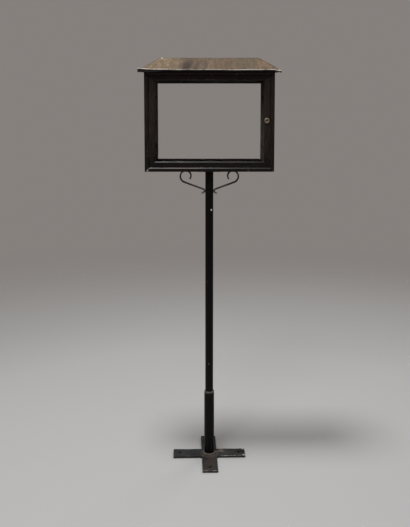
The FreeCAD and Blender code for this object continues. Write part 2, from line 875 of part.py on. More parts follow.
pieces = {
    "base_bar": base_bar(),
    "base_arm_left": base_arm(-1),
    "base_arm_right": base_arm(1),
    "socket_tube": socket_tube(),
    "socket_weld": socket_weld(),
    "post_foot_plug": post_foot_plug(),
    "post_tube": post_tube(),
    "head_plate": head_plate(),
    "head_screws": head_screws(),
    "head_washers": head_washers(),
    "head_nuts": head_nuts(),
    "scroll_left": scroll_left(),
    "scroll_right": scroll_right(),
    "scroll_rivets": scroll_rivets(),
    "case_floor": case_floor(),
    "case_side_left": case_side(-1),
    "case_side_right": case_side(1),
    "front_bar_bottom": front["bottom"],
    "front_bar_top": front["top"],
    "front_bar_left": front["left"],
    "front_bar_right": front["right"],
    "back_bar_bottom": rear["bottom"],
    "back_bar_top": rear["top"],
    "back_bar_left": rear["left"],
    "back_bar_right": rear["right"],
    "back_glass": glass_pane(back_glass_frame()),
    "back_glass_clips": glass_clips(back_glass_frame()),
    "back_clip_screws": clip_screws(back_glass_frame()),
    "roof_sheet": roof_sheet(),
    "roof_cleats": roof_cleats(),
    "roof_screws": roof_screws(),
    "pivot_block_bottom": pivot_block(floor_high, opening_low),
    "pivot_block_top": pivot_block(opening_high, opening_high + pivot_block_height),
    "pivot_pin_bottom": pivot_pin_bottom(),
    "pivot_pin_top": pivot_pin_top(),
    "pivot_washer": pivot_washer(),
    "door_rail_bottom": door["bottom"],
    "door_rail_top": door["top"],
    "door_stile_left": door["left"],
    "door_stile_right": door["right"],
    "door_glass": glass_pane(door_glass_frame()),
    "door_glass_clips": glass_clips(door_glass_frame()),
    "door_clip_screws": clip_screws(door_glass_frame()),
    "door_stops": door_stops(),
    "knob": knob(),
    "knob_rosette": knob_rosette(),
    "latch_spindle": latch_spindle(),
    "latch_bush": latch_bush(),
    "latch_cam": latch_cam(),
    "latch_washer": latch_washer(),
    "latch_nut": latch_nut(),
    "latch_keeper": latch_keeper(),
    "keeper_screws": keeper_screws(),
}

os.makedirs("parts", exist_ok=True)
for name, shape in pieces.items():
    shape.exportStep("parts/" + name + ".step")
    print(name, len(shape.Solids), "solids", round(shape.Volume / 1000, 2), "cm3", shape.isValid())
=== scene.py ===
import json
import math
from functools import partialmethod

import bmesh
import bpy
import numpy as np
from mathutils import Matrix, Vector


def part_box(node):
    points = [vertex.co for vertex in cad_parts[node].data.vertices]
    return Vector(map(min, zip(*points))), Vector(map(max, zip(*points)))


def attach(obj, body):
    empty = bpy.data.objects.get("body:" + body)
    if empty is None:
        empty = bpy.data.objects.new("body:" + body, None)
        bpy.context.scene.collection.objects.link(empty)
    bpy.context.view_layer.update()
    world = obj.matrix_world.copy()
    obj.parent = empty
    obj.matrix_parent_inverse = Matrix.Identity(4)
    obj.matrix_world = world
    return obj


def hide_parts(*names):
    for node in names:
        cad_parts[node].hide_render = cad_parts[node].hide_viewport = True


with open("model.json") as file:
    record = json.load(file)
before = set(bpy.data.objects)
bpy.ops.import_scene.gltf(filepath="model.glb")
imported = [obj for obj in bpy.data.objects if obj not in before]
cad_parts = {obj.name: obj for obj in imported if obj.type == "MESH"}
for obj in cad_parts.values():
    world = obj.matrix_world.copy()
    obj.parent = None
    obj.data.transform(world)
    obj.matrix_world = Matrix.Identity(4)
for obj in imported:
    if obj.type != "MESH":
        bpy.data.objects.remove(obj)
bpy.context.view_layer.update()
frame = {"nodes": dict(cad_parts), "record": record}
slotOf = {row["node"]: row["material_slot"] for row in frame["record"]["subparts"]}
bodyOf = {node: body for body, nodes in frame["record"]["behaviour"]["bodies"].items() for node in nodes}
mm = 0.001
quarter = math.pi / 2
strokeStretch = 0.10  # brush strokes are this much finer across than along


# shape helpers: all sizes in millimetres until a piece is put into the scene

def boxMm(node):
    low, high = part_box(node)
    return np.array(low) / mm, np.array(high) / mm


def together(*parts):
    # points from coordinates of different shapes, spread over one grid
    return np.stack(np.broadcast_arrays(*parts), -1)


def ripple(points, wavelength, seed, waves=14):
    # sum of sine waves with random directions and lengths near the given one, about -2 to 2
    rng = np.random.default_rng(seed)
    ways = rng.normal(size=(waves, 3))
    ways *= (2 * math.pi / wavelength * rng.uniform(0.6, 1.5, waves) / np.linalg.norm(ways, axis=1))[:, None]
    return np.sin(points @ ways.T + rng.uniform(0, 2 * math.pi, waves)).sum(-1) / math.sqrt(waves / 2)


def ease(low, high, value):
    # 0 below low, 1 above high, smooth between
    t = np.clip((value - low) / (high - low), 0, 1)
    return t * t * (3 - 2 * t)


def arc(steps):
    # cosines and sines along a quarter turn
    turn = np.linspace(0, quarter, steps)
    return np.cos(turn), np.sin(turn)


def gridQuads(rows, cols, wrapRows=False, wrapCols=False):
    # four-point faces between neighbours of a grid; a wrapped way joins its last line to its first
    a, b = np.meshgrid(np.arange(rows - 1 + wrapRows), np.arange(cols - 1 + wrapCols), indexing="ij")
    c, d = (a + 1) % rows, (b + 1) % cols
    return np.stack([a * cols + b, a * cols + d, c * cols + d, c * cols + b], -1).reshape(-1, 4)


def gridRim(rows, cols):
    # numbers of a grid's outermost points, in order round it
    return np.concatenate([np.arange(rows) * cols, (rows - 1) * cols + np.arange(1, cols),
                           np.arange(rows - 2, -1, -1) * cols + cols - 1, np.arange(cols - 2, 0, -1)])


def ringBands(loops):
    # faces between closed loops of points, each loop joined to the next
    return np.concatenate([np.stack([np.roll(a, -1), np.roll(b, -1), b, a], -1)
                           for a, b in zip(loops, loops[1:])])


def shellOf(points, quads, caps=(), wear=0.0, brush=None):
    # one closed surface; its faces are turned outwards, told by the sign of the volume inside
    points = np.asarray(points, float).reshape(-1, 3)
    away = points - points.mean(0)
    p, q, r, s = away[quads].swapaxes(0, 1)
    volume = (p * (np.cross(q, r) + np.cross(r, s))).sum()
    for ring in caps:
        volume += (np.cross(away[ring[1:-1]], away[ring[2:]]) @ away[ring[0]]).sum()
    if volume < 0:
        quads, caps = quads[:, ::-1], [ring[::-1] for ring in caps]
    wear = np.broadcast_to(np.ravel(wear), len(points)).astype(float)
    brush = points * [1, 1, strokeStretch] if brush is None else np.reshape(brush, (-1, 3))
    return {"points": points, "quads": quads, "caps": caps, "wear": wear, "brush": brush}


def carried(points, wear=0.0, brush=None, closed=False):
    # sections, one row of points each, joined in order; an open run gets a cap at both ends
    rows, cols = points.shape[:2]
    ends = () if closed else [np.arange(cols)[::-1], np.arange(cols) + (rows - 1) * cols]
    return shellOf(points, gridQuads(rows, cols, closed, True), ends, wear, brush)


def closedSheet(count, upper, rings, lower, wear=0.0):
    # two grids of points whose rims are joined by rings of points between them
    rim, top = gridRim(*count), gridQuads(*count)
    below = len(upper) + len(rings) * len(rim)
    between = [len(upper) + k * len(rim) + np.arange(len(rim)) for k in range(len(rings))]
    bands = ringBands([rim, *between, below + rim])
    quads = np.concatenate([top, bands, (top + below)[:, ::-1]])
    return shellOf(np.concatenate([upper, *rings, lower]), quads, (), wear)


def inScene(name, data, place=(0.0, 0.0, 0.0), turn=(0.0, 0.0, 0.0)):
    made = bpy.data.objects.new(name, data)
    made.location, made.rotation_euler = place, turn
    bpy.context.scene.collection.objects.link(made)
    return made


def putPiece(node, shells, material, crease=38):
    # the dressed shape stands for its CAD node, on the node's own body
    name = node + "_dressed"
    faces, offset = [], 0
    for shell in shells:
        faces += (shell["quads"] + offset).tolist() + [(ring + offset).tolist() for ring in shell["caps"]]
        offset += len(shell["points"])
    points, wear, brush = (np.concatenate([s[key] for s in shells]) for key in ("points", "wear", "brush"))
    mesh = bpy.data.meshes.new(name)
    mesh.from_pydata((points * mm).tolist(), [], faces)
    worn = mesh.attributes.new("wear", "FLOAT", "POINT")
    worn.data.foreach_set("value", wear.astype(np.float32))
    brushed = mesh.attributes.new("brush", "FLOAT_VECTOR", "POINT")
    brushed.data.foreach_set("vector", (brush * mm).astype(np.float32).ravel())
    mesh.polygons.foreach_set("use_smooth", np.ones(len(mesh.polygons), bool))
    mesh.set_sharp_from_angle(angle=math.radians(crease))
    mesh.materials.append(material)
    piece = inScene(name, mesh)
    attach(piece, bodyOf[node])
    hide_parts(node)
    return piece


def joinSeam(piece):
    # points of two halves that lie on each other become one
    made = bmesh.new()
    made.from_mesh(piece.data)
    bmesh.ops.remove_doubles(made, verts=made.verts, dist=0.01 * mm)
    made.to_mesh(piece.data)
    made.free()


def softOutline(corners, radius, fade=2.5, steps=4, widest=12.0):
    # closed outline with an arc in place of each corner; wear is 1 on outward arcs, 0 from fade beyond them
    corners = np.asarray(corners, float)
    area = np.cross(corners, np.roll(corners, -1, 0)).sum()
    points, wear = [], []
    for before, here, after in zip(np.roll(corners, 1, 0), corners, np.roll(corners, -1, 0)):
        inLength, outLength = np.linalg.norm(here - before), np.linalg.norm(after - here)
        inWay, outWay = (here - before) / inLength, (after - here) / outLength
        turn = math.atan2(np.cross(inWay, outWay), inWay @ outWay)
        cut = min(radius * math.tan(abs(turn) / 2), 0.4 * min(inLength, outLength))
        bend = math.copysign(cut / math.tan(abs(turn) / 2), turn)
        centre = here - inWay * cut + np.array([-inWay[1], inWay[0]]) * bend
        x, y = here - inWay * cut - centre
        angles = np.linspace(0, turn, steps + 1)
        c, s = np.cos(angles), np.sin(angles)
        lead, trail = min(cut + fade, 0.48 * inLength), min(cut + fade, 0.48 * outLength)
        points += [here - inWay * lead, *(centre + np.stack([x * c - y * s, x * s + y * c], -1)),
                   here + outWay * trail]
        wear += [0.0] + [float(turn * area > 0)] * (steps + 1) + [0.0]
    points, wear = np.array(points), np.array(wear)
    toNext, wearToNext = np.roll(points, -1, 0) - points, np.roll(wear, -1) - wear
    parts = np.maximum(1, np.ceil(np.linalg.norm(toNext, axis=1) / widest)).astype(int)
    which = np.repeat(np.arange(len(points)), parts)
    share = (np.arange(len(which)) - (np.cumsum(parts) - parts)[which]) / parts[which]
    points = points[which] + toNext[which] * share[:, None]
    wear = wear[which] + wearToNext[which] * share
    along = np.roll(points, -1, 0) - np.roll(points, 1, 0)
    normals = np.stack([along[:, 1], -along[:, 0]], -1) * math.copysign(1, area)
    return points, normals / np.linalg.norm(normals, axis=1)[:, None], wear


def ringSteps(length, step, end):
    # places along a run: three close together at each end, evenly spaced between
    inner = np.linspace(end, length - end, max(2, int(round((length - 2 * end) / step)) + 1))
    return np.concatenate([[0, end * 0.4], inner, [length - end * 0.4, length]])


def sideways(axis):
    # two ways square to an axis and to each other
    side = np.cross(axis, [0, 0, 1.0] if abs(axis[2]) < 0.9 else [1.0, 0, 0])
    return side, np.cross(axis, side)


def revolve(profile, origin, axis, segments=72, closed=False, wear=0.0, squeeze=None):
    # each profile point (radius, height) carried round the axis; squeeze(angle, height) scales the radius
    axis, profile = np.asarray(axis, float), np.asarray(profile, float)
    side, other = sideways(axis)
    angle = np.arange(segments) * 2 * math.pi / segments
    radius = profile[:, :1] * (1 if squeeze is None else squeeze(angle[None], profile[:, 1:]))
    rim = np.cos(angle)[None, :, None] * side + np.sin(angle)[None, :, None] * other
    points = np.asarray(origin, float) + radius[..., None] * rim + profile[:, 1][:, None, None] * axis
    return carried(points, np.repeat(np.broadcast_to(wear, len(profile)), segments), None, closed)


# finishes

class Finish:
    # a material being mixed: its nodes, where they read place and wear, and the colour so far

    def __init__(self, name, look=None):
        self.material = bpy.data.materials.new(name)
        self.material.use_nodes = True
        self.tree, self.look, self.colour = self.material.node_tree, look, None
        self.tree.nodes.clear()
        self.shader = self.add("BsdfPrincipled")
        self.output = self.add("OutputMaterial", {0: self.shader.outputs[0]})
        coords = self.add("TexCoord").outputs
        self.place = coords["Object"]
        self.upward = self.split(coords["Normal"])[2]
        self.worn = self.add("Attribute", attribute_name="wear").outputs["Fac"]
        self.wearBelowZero = self.times(self.worn, -1.0, True)  # wear below 0: tarnish in the knob's dish, the roof's darker hips and ridge, painted shade in the base's holes, and on black paint a paling that is painted light

    def feed(self, key, value, node=None):
        # links an output to a socket, or sets a constant on it
        socket = (node or self.shader).inputs[key]
        if hasattr(value, "is_output"):
            self.tree.links.new(value, socket)
        else:
            socket.default_value = value

    def add(self, kind, inputs=None, **settings):
        made = self.tree.nodes.new("ShaderNode" + kind)
        for key, value in settings.items():
            setattr(made, key, value)
        for key, value in (inputs or {}).items():
            self.feed(key, value, made)
        return made

    def split(self, vector):
        return self.add("SeparateXYZ", {0: vector}).outputs

    def calc(self, operation, first, second=0.0, clamp=False):
        return self.add("Math", {0: first, 1: second}, operation=operation, use_clamp=clamp).outputs[0]

    times = partialmethod(calc, "MULTIPLY")
    plus = partialmethod(calc, "ADD")
    minus = partialmethod(calc, "SUBTRACT")
    most = partialmethod(calc, "MAXIMUM")

    def vector(self, operation, first, second):
        key = "Scale" if operation == "SCALE" else 1
        made = self.add("VectorMath", {0: first, key: second}, operation=operation)
        return made.outputs["Value" if operation == "DISTANCE" else "Vector"]

    def remap(self, value, low, high, toLow=0.0, toHigh=1.0):
        return self.add("MapRange", {"Value": value, "From Min": low, "From Max": high,
                                     "To Min": toLow, "To Max": toHigh}).outputs[0]

    def noise(self, scale, detail, place=None, roughness=0.5, output=0):
        return self.add("TexNoise", {"Vector": self.place if place is None else place, "Scale": scale,
                                     "Detail": detail, "Roughness": roughness}).outputs[output]

    def uneven(self, scale, detail, low, high):
        # noise spread from low to high, for the roughness
        return self.remap(self.noise(scale, detail), 0.3, 0.7, low, high)

    def speckle(self, scale, low, high, detail=4.0, stretch=None):
        # noise cut to the part of its range between low and high
        place = self.place
        if stretch is not None:
            place = self.add("Mapping", {"Vector": place, "Scale": stretch}).outputs[0]
        return self.remap(self.noise(scale, detail, place, 0.6), low, high)

    def speck(self, name):
        return self.speckle(*self.look["specks"][name])

    def spot(self, place, centre, near, far):
        # 1 within near of a point, 0 beyond far, in metres
        return self.remap(self.vector("DISTANCE", place, centre), near, far, 1.0, 0.0)

    def tint(self, share, first, second):
        first, second = (s if hasattr(s, "is_output") else (*s, 1.0) for s in (first, second))
        return self.add("Mix", {0: share, 6: first, 7: second}, data_type="RGBA").outputs[2]

    def paint(self, share, shade):
        self.colour = self.tint(share, self.colour, shade)

    def coat(self, speck, share, shade=None):
        # a colour laid on through noise, both named in the look
        self.paint(self.times(self.speck(speck), share), self.look[shade or speck])

    def blend(self, share, first, second):
        # two shaders mixed in place of the plain one
        self.feed(0, self.add("MixShader", {0: share, 1: first, 2: second}).outputs[0], self.output)

    def done(self, rough, height, depth, shine=0.5):
        self.feed("Base Color", self.colour)
        self.feed("Roughness", rough)
        self.feed("Specular IOR Level", shine)
        bump = self.add("Bump", {"Height": height, "Distance": depth, "Strength": 1.0})
        self.feed("Normal", bump.outputs[0])
        return self.material


# in every look, specks are noises: scale, lower cut, upper cut, detail, stretch

paintLook = {
    "black": (0.0031, 0.0021, 0.0016), "brown": (0.0094, 0.006, 0.0042), "dust": (0.085, 0.074, 0.062),
    "bare": (0.11, 0.092, 0.077), "rust": (0.05, 0.022, 0.011), "fadedAndLit": (0.092, 0.07, 0.058),
    "dustShare": 0.26, "gloss": 0.27, "shine": 0.24, "rub": (0.5, 0.66), "patch": (0.46, 0.66),
    "specks": {"blotch": (16, 0.34, 0.62, 6), "dust": (38, 0.25, 0.75, 5), "chip": (420, 0.3, 0.7, 2),
               "rust": (210, 0.69, 0.73, 2), "rustPatch": (23, 0.45, 0.6)},
}


def blackPaint(name, changes, chips):
    # old brushed paint: brown-black in long strokes, dusty on top faces, worn through on edges, rust pinholes
    look = {**paintLook, **changes}
    mix = Finish(name, look)
    strokes = mix.noise(190, 4, mix.add("Attribute", attribute_name="brush").outputs["Vector"], 0.6)
    tone = mix.times(mix.remap(mix.speck("blotch"), 0, 1, 0.45, 1), mix.remap(strokes, 0.38, 0.60))
    mix.colour = mix.tint(tone, look["black"], look["brown"])
    if "span" in look:  # painted light: the stiles' lighter tone shows between these heights only, the case paint's darker tone elsewhere
        low, lowFull, highFull, high = look["span"]
        height = mix.split(mix.place)[2]
        share = mix.calc("MINIMUM", mix.remap(height, low, lowFull), mix.remap(height, highFull, high, 1, 0))
        mix.colour = mix.tint(share, mix.tint(tone, paintLook["black"], paintLook["brown"]), mix.colour)
    # dust on faces turned up; with the scrolls' larger share it also paints the light on their top faces
    dustAndPaintedLight = mix.times(mix.remap(mix.upward, 0.25, 0.95), mix.speck("dust"))
    dustAndPaintedLight = mix.times(dustAndPaintedLight, look["dustShare"])
    mix.paint(dustAndPaintedLight, look["dust"])
    mix.coat("rust", mix.speck("rustPatch"))
    # painted light: where the wear is below 0 the black paint is paled towards the faded colour
    mix.paint(mix.times(mix.wearBelowZero, mix.remap(tone, 0, 0.8, 0.72, 1)), look["fadedAndLit"])
    lost = mix.times(mix.worn, mix.speckle(95, *look["rub"], 5), True)
    lost = mix.times(lost, mix.speckle(13, *look["patch"]))
    mix.paint(lost, look["bare"])
    for centre, size, shade in chips:
        ragged = mix.remap(mix.speck("chip"), 0.2, 0.45)
        chip = mix.times(mix.spot(mix.place, centre, size * 0.6, size), ragged)
        mix.paint(chip, shade)
        lost = mix.most(lost, chip)
    rough = mix.plus(mix.uneven(30, 5, look["gloss"], look["gloss"] + 0.12),
                     mix.remap(strokes, 0.3, 0.7, -0.04, 0.06))
    rough = mix.plus(rough, mix.times(dustAndPaintedLight, 0.8), True)
    peel, grain = mix.times(mix.noise(130, 3), 0.4), mix.times(mix.noise(650, 2), 0.12)
    height = mix.plus(mix.plus(peel, grain), mix.times(strokes, 0.35))
    return mix.done(rough, mix.minus(height, mix.times(lost, 0.4)), 0.0004, look["shine"])


# stains: middle, half width, share; patches: the same with a colour; all across the roof, in metres
roofLook = {
    "beige": (0.172, 0.12, 0.068), "olive": (0.14, 0.098, 0.06), "umber": (0.032, 0.019, 0.0115),
    "ashen": (0.118, 0.091, 0.068), "rust": (0.09, 0.05, 0.027), "fleck": (0.36, 0.3, 0.2),
    "bright": (0.6, 0.56, 0.52), "seam": (0.046, 0.028, 0.017), "soot": (0.01, 0.009, 0.008),
    "stains": [(-0.089, 0.032, 1.25), (-0.043, 0.015, 0.75), (-0.014, 0.011, 0.6), (0.085, 0.022, 0.25)],
    "patches": [(0.15, 0.055, 0.75, (0.098, 0.084, 0.05)), (0.06, 0.04, 0.65, (0.12, 0.074, 0.048)),
                (0.236, 0.034, 0.7, (0.215, 0.138, 0.078)), (-0.205, 0.03, 0.5, (0.195, 0.124, 0.062))],
    "slant": 0.24, "chip": (-0.1945, -0.003, 1.7005), "chipSize": (0.0026, 0.0056), "shine": 0.24,
    "specks": {"patch": (19, 0.36, 0.58, 5), "ashen": (24, 0.45, 0.72, 6), "fleck": (120, 0.53, 0.66, 3),
               "rust": (48, 0.54, 0.68, 5), "stain": (30, 0.5, 0.68, 5), "mottle": (150, 0.46, 0.66, 5),
               "streak": (3.6, 0.34, 0.6, 6, (16, 3, 3)), "run": (4, 0.42, 0.66, 5, (34, 4, 4)),
               "seam": (40, 0.25, 0.5), "rub": (60, 0.31, 0.5, 6)},
}


def roofPatina(name, look):
    # weathered sheet: beige and flecked to the left, stained in bands down the slope, olive brown to the
    # right, darker brown along the hips and ridge where the wear is below 0, bare where it is above (along
    # the hem partly a painted highlight), with painted shade on faces turned down or sideways
    mix = Finish(name, look)
    across, inward, _ = mix.split(mix.place)
    x = mix.plus(across, mix.remap(mix.noise(14, 5), 0.2, 0.8, -0.03, 0.03))
    x = mix.minus(x, mix.times(mix.plus(inward, 0.04), look["slant"]))

    def band(centre, near, far, share):
        return mix.remap(mix.calc("ABSOLUTE", mix.minus(x, centre)), near, far, share, 0)

    leftShare = mix.remap(x, -0.16, -0.10, 1, 0)
    mix.colour = mix.tint(leftShare, look["olive"], look["beige"])
    for centre, half, share, shade in look["patches"]:
        mix.paint(mix.times(band(centre, half * 0.3, half * 1.3, share), mix.speck("patch")), shade)
    mix.coat("ashen", 0.7)
    mix.coat("fleck", mix.remap(leftShare, 0, 1, 0.12, 0.72))
    mix.coat("rust", 0.55)
    stained = mix.times(mix.speck("stain"), 0.35)
    for centre, half, share in look["stains"]:
        stained = mix.most(stained, band(centre, half * 0.35, half * 1.25, share))
    stained = mix.times(stained, mix.remap(mix.speck("streak"), 0, 1, 0.62, 1))
    stained = mix.times(stained, mix.remap(inward, -0.065, -0.015, 1, 0.5))  # weaker towards the ridge
    mix.paint(stained, look["umber"])
    mix.coat("mottle", 0.42, "umber")
    mix.coat("run", 0.42, "umber")
    mix.paint(mix.remap(mix.upward, 0, 0.25, 1, 0), look["soot"])  # painted shade: dark on faces turned down or sideways, underneath and on the hem
    mix.coat("seam", mix.wearBelowZero)
    # rubbed bright where the wear is above 0; along the hem's top edge and front corners partly a painted
    # highlight
    rubbed = mix.times(mix.most(mix.worn, 0), mix.speck("rub"))
    mix.paint(mix.most(rubbed, mix.spot(mix.place, look["chip"], *look["chipSize"])), look["bright"])
    height = mix.plus(mix.noise(170, 4), mix.times(stained, 0.3))
    return mix.done(mix.uneven(45, 5, 0.46, 0.72), height, 0.0007, look["shine"])


# spots: place and size in metres
ironLook = {
    "scale": (0.0176, 0.019, 0.021), "grey": (0.042, 0.0455, 0.05), "earth": (0.046, 0.0335, 0.0255),
    "rust": (0.06, 0.031, 0.019), "ochre": (0.185, 0.158, 0.128), "bright": (0.5, 0.49, 0.44),
    "soot": (0.004, 0.0035, 0.0035), "halo": (0.105, 0.088, 0.066), "haloAt": (0, -0.01, 0.01),
    "haloSize": (0.028, 0.044), "wander": 0.016, "shine": 0.15,
    "ochreSpots": [((0.048, 0.022, 0.01), 0.015), ((0.057, 0.01, 0.01), 0.009), ((0.033, 0.006, 0.01), 0.01)],
    "brightSpots": [((0.149, -0.0235, 0.01), 0.0065), ((0.1475, 0.031, 0.01), 0.0085)],
    # soot spots: dark patches round the three holes and by the right arm's end, dirt and painted shade of the
    # holes
    "sootSpots": [((0.129, 0.005, 0.01), 0.015), ((0.142, 0.012, 0.01), 0.019),
                  ((-0.128, -0.001, 0.01), 0.011), ((0.003, -0.127, 0.01), 0.013)],
    "specks": {"grey": (22, 0.35, 0.68, 6), "earth": (33, 0.36, 0.62, 6), "rust": (85, 0.55, 0.7, 6),
               "soot": (260, 0.55, 0.7, 3), "halo": (120, 0.34, 0.56), "spot": (75, 0.28, 0.46),
               "rub": (85, 0.4, 0.6, 5)},
}


def baseIron(name, look):
    # floor-worn iron: dark scale, grey scuffs, earth and rust towards the front, bare bright edges; dark in
    # and round the holes, partly painted shade
    mix = Finish(name, look)
    mix.colour = mix.tint(mix.speck("grey"), look["scale"], look["grey"])
    frontShare = mix.remap(mix.split(mix.place)[1], -0.02, -0.07)
    mix.coat("earth", mix.remap(frontShare, 0, 1, 0.12, 0.9))
    mix.coat("rust", mix.remap(frontShare, 0, 1, 0.45, 1))
    mix.coat("soot", 0.7)
    wander = mix.vector("SUBTRACT", mix.noise(70, 4, output=1), (0.5, 0.5, 0.5))
    blurred = mix.vector("ADD", mix.place, mix.vector("SCALE", wander, look["wander"]))
    halo = mix.times(mix.spot(blurred, look["haloAt"], *look["haloSize"]), mix.speck("halo"))
    mix.paint(mix.times(halo, 0.75), look["halo"])
    for shade, share in (("ochre", 0.85), ("soot", 0.8)):
        for centre, size in look[shade + "Spots"]:
            near = mix.times(mix.spot(blurred, centre, size * 0.5, size * 1.2), mix.speck("spot"))
            mix.paint(mix.times(near, share), look[shade])
    # painted shade: the holes' bores, where the wear is below 0, go soot-dark
    mix.paint(mix.wearBelowZero, look["soot"])
    rubbed = mix.times(mix.worn, mix.speck("rub"), True)
    for centre, size in look["brightSpots"]:
        rubbed = mix.most(rubbed, mix.spot(blurred, centre, size * 0.4, size))
    mix.paint(rubbed, look["bright"])
    mix.feed("Metallic", mix.times(rubbed, 0.35))
    return mix.done(mix.uneven(60, 5, 0.45, 0.75), mix.noise(190, 5), 0.0009, look["shine"])


metalLooks = {
    "brass": {"fresh": (0.34, 0.28, 0.2), "dull": (0.17, 0.136, 0.096), "dark": (0.06, 0.046, 0.032),
              "rough": 0.42, "metallic": 0.9},
    "steel": {"fresh": (0.3, 0.3, 0.3), "dull": (0.17, 0.165, 0.16), "dark": (0.05, 0.042, 0.036),
              "rough": 0.38, "metallic": 0.85},
    "weld_bead": {"fresh": (0.24, 0.215, 0.18), "dull": (0.14, 0.12, 0.096), "dark": (0.05, 0.038, 0.028),
                  "rough": 0.55, "metallic": 0.25},
    "blued_steel": {"fresh": (0.05, 0.048, 0.046), "dull": (0.022, 0.021, 0.02), "dark": (0.01, 0.009, 0.008),
                    "rough": 0.45, "metallic": 0.8},
}
metalSpecks = {"dark": (260, 0.35, 0.65, 5), "fresh": (120, 0.52, 0.70)}


def agedMetal(name, look):
    # handled metal: dull overall, darker in specks, fresh on rubbed edges, grimy where the wear is below 0
    mix = Finish(name, {**look, "specks": metalSpecks})
    mix.colour = mix.tint(mix.speck("dark"), look["dull"], look["dark"])
    mix.paint(mix.most(mix.worn, mix.speck("fresh")), look["fresh"])
    mix.paint(mix.wearBelowZero, look["dark"])
    mix.feed("Metallic", look["metallic"])
    rough = mix.plus(mix.uneven(340, 4, look["rough"], look["rough"] + 0.25), mix.times(mix.wearBelowZero, 0.3), True)
    return mix.done(rough, mix.noise(900, 3), 0.00025)


glassLook = {"tone": (0.985, 0.992, 0.988, 1), "shadow": (0.92, 0.94, 0.93, 1), "bends": 1.2, "dust": 0.05,
             "specks": {"wiped": (7, 0.35, 0.75, 5, (1, 1, 2.6))}}


def clearGlass(name, look):
    # window glass that lets the lamps through, with faint wiped dust
    mix = Finish(name, look)
    mix.feed("Base Color", look["tone"])
    mix.feed("Transmission Weight", 1.0)
    mix.feed("IOR", look["bends"])
    mix.feed("Roughness", mix.remap(mix.speck("wiped"), 0, 1, 0, look["dust"]))
    through = mix.add("BsdfTransparent", {0: look["shadow"]}).outputs[0]
    mix.blend(mix.add("LightPath").outputs["Is Shadow Ray"], mix.shader.outputs[0], through)
    return mix.material


# how each paint departs from paintLook
# heights (from, full, full, to) of the stiles' lighter tone: painted light, fading out lower down and into
# the roof's shade at the top
stileLitSpan = (1.264, 1.420, 1.560, 1.626)
tubePaint = {"black": (0.0024, 0.0022, 0.0022), "brown": (0.0056, 0.0048, 0.0045), "dustShare": 0.2,
             "gloss": 0.36, "shine": 0.13}
paintChanges = {
    "case": {},
    # stile and door: lighter copies of the case paint, painted light where the stiles catch more light than
    # the rails
    "stile": {"black": (0.0088, 0.0063, 0.0047), "brown": (0.0245, 0.0169, 0.0126), "span": stileLitSpan},
    "door": {"black": (0.0130, 0.0090, 0.0068), "brown": (0.0405, 0.0275, 0.0207), "span": stileLitSpan},
    # shade: a darker, less shiny copy of the case paint for the top rails, painted shade under the roof's
    # brim
    "shade": {"black": (0.0078, 0.0045, 0.0036), "brown": (0.0175, 0.0102, 0.0080), "shine": 0.13},
    # inner: less dust and sheen inside the case; its darker colour is partly painted shade
    "inner": {"shine": 0.10, "gloss": 0.45, "dustShare": 0.12},
    "post": tubePaint,
    # scroll: its larger dust share pales the bars' top faces, dust and a painted highlight together
    "scroll": {"black": tubePaint["black"], "dustShare": 0.45, "gloss": 0.34, "shine": 0.18,
               "bare": (0.25, 0.245, 0.245), "rub": (0.22, 0.36), "patch": (0.14, 0.28)},
    "socket": {**tubePaint, "bare": (0.19, 0.188, 0.185), "rub": (0.30, 0.50), "patch": (0.20, 0.40)},
}
# chips of lost paint: place and size in metres, colour
paintChips = {
    "case": [((-0.2522, -0.0648, 1.2415), 0.0056, (0.34, 0.32, 0.30)),
             ((0.2605, -0.065, 1.2395), 0.0035, (0.20, 0.16, 0.13)),
             ((0.1585, -0.065, 1.2432), 0.0026, (0.16, 0.15, 0.14))],
    "post": [((0.0086, -0.0145, 1.0725), 0.0050, (0.92, 0.91, 0.89)),
             ((-0.002, -0.0167, 0.411), 0.0022, (0.30, 0.28, 0.26)),
             ((-0.008, -0.0148, 0.768), 0.0020, (0.16, 0.11, 0.08))],
}
paints = {name: blackPaint(name + "_paint", changes, paintChips.get(name, ()))
          for name, changes in paintChanges.items()}
slotFinish = {"black_paint": paints["case"], "roof_patina": roofPatina("roof_patina", roofLook),
              "base_iron": baseIron("base_iron", ironLook), "glass": clearGlass("glass", glassLook)}
metals = {name: agedMetal(name, look) for name, look in metalLooks.items()}
slotFinish.update({name: metals[name] for name in ("brass", "steel", "weld_bead")})
print("finishes:", len(slotFinish))


# camera, floor and lamps

cameraSet = {"place": (-0.018, -2.912, 1.454), "tilt": 5.7, "lens": 47.82, "sensor": 36.0, "down": -0.1433}
lamps = {
    "key": {"place": (-1.05, -3.0, 4.3), "aim": (0.0, 0.0, 1.2), "size": 1.6, "power": 58.0},
    "overhead": {"place": (-0.52, -0.37, 4.6), "aim": (0.0, 0.0, 1.0), "size": 0.7, "power": 94.0},
    "rear": {"place": (1.8, 2.6, 3.0), "aim": (0.0, 0.0, 1.0), "size": 1.6, "power": 22.0},
}
floorSet = {"radius": 6.0, "solid": 1.4, "gone": 5.1, "grey": (0.5346, 0.54, 0.5454), "rough": 0.7,
            "backdrop": (0.238, 0.218, 0.205), "rings": 14, "spokes": 64}


def aimedAt(place, target):
    # the turn that points a lamp from its place at a target
    way = np.subtract(target, place)
    return math.atan2(math.hypot(way[0], way[1]), -way[2]), 0.0, math.atan2(-way[0], way[1])


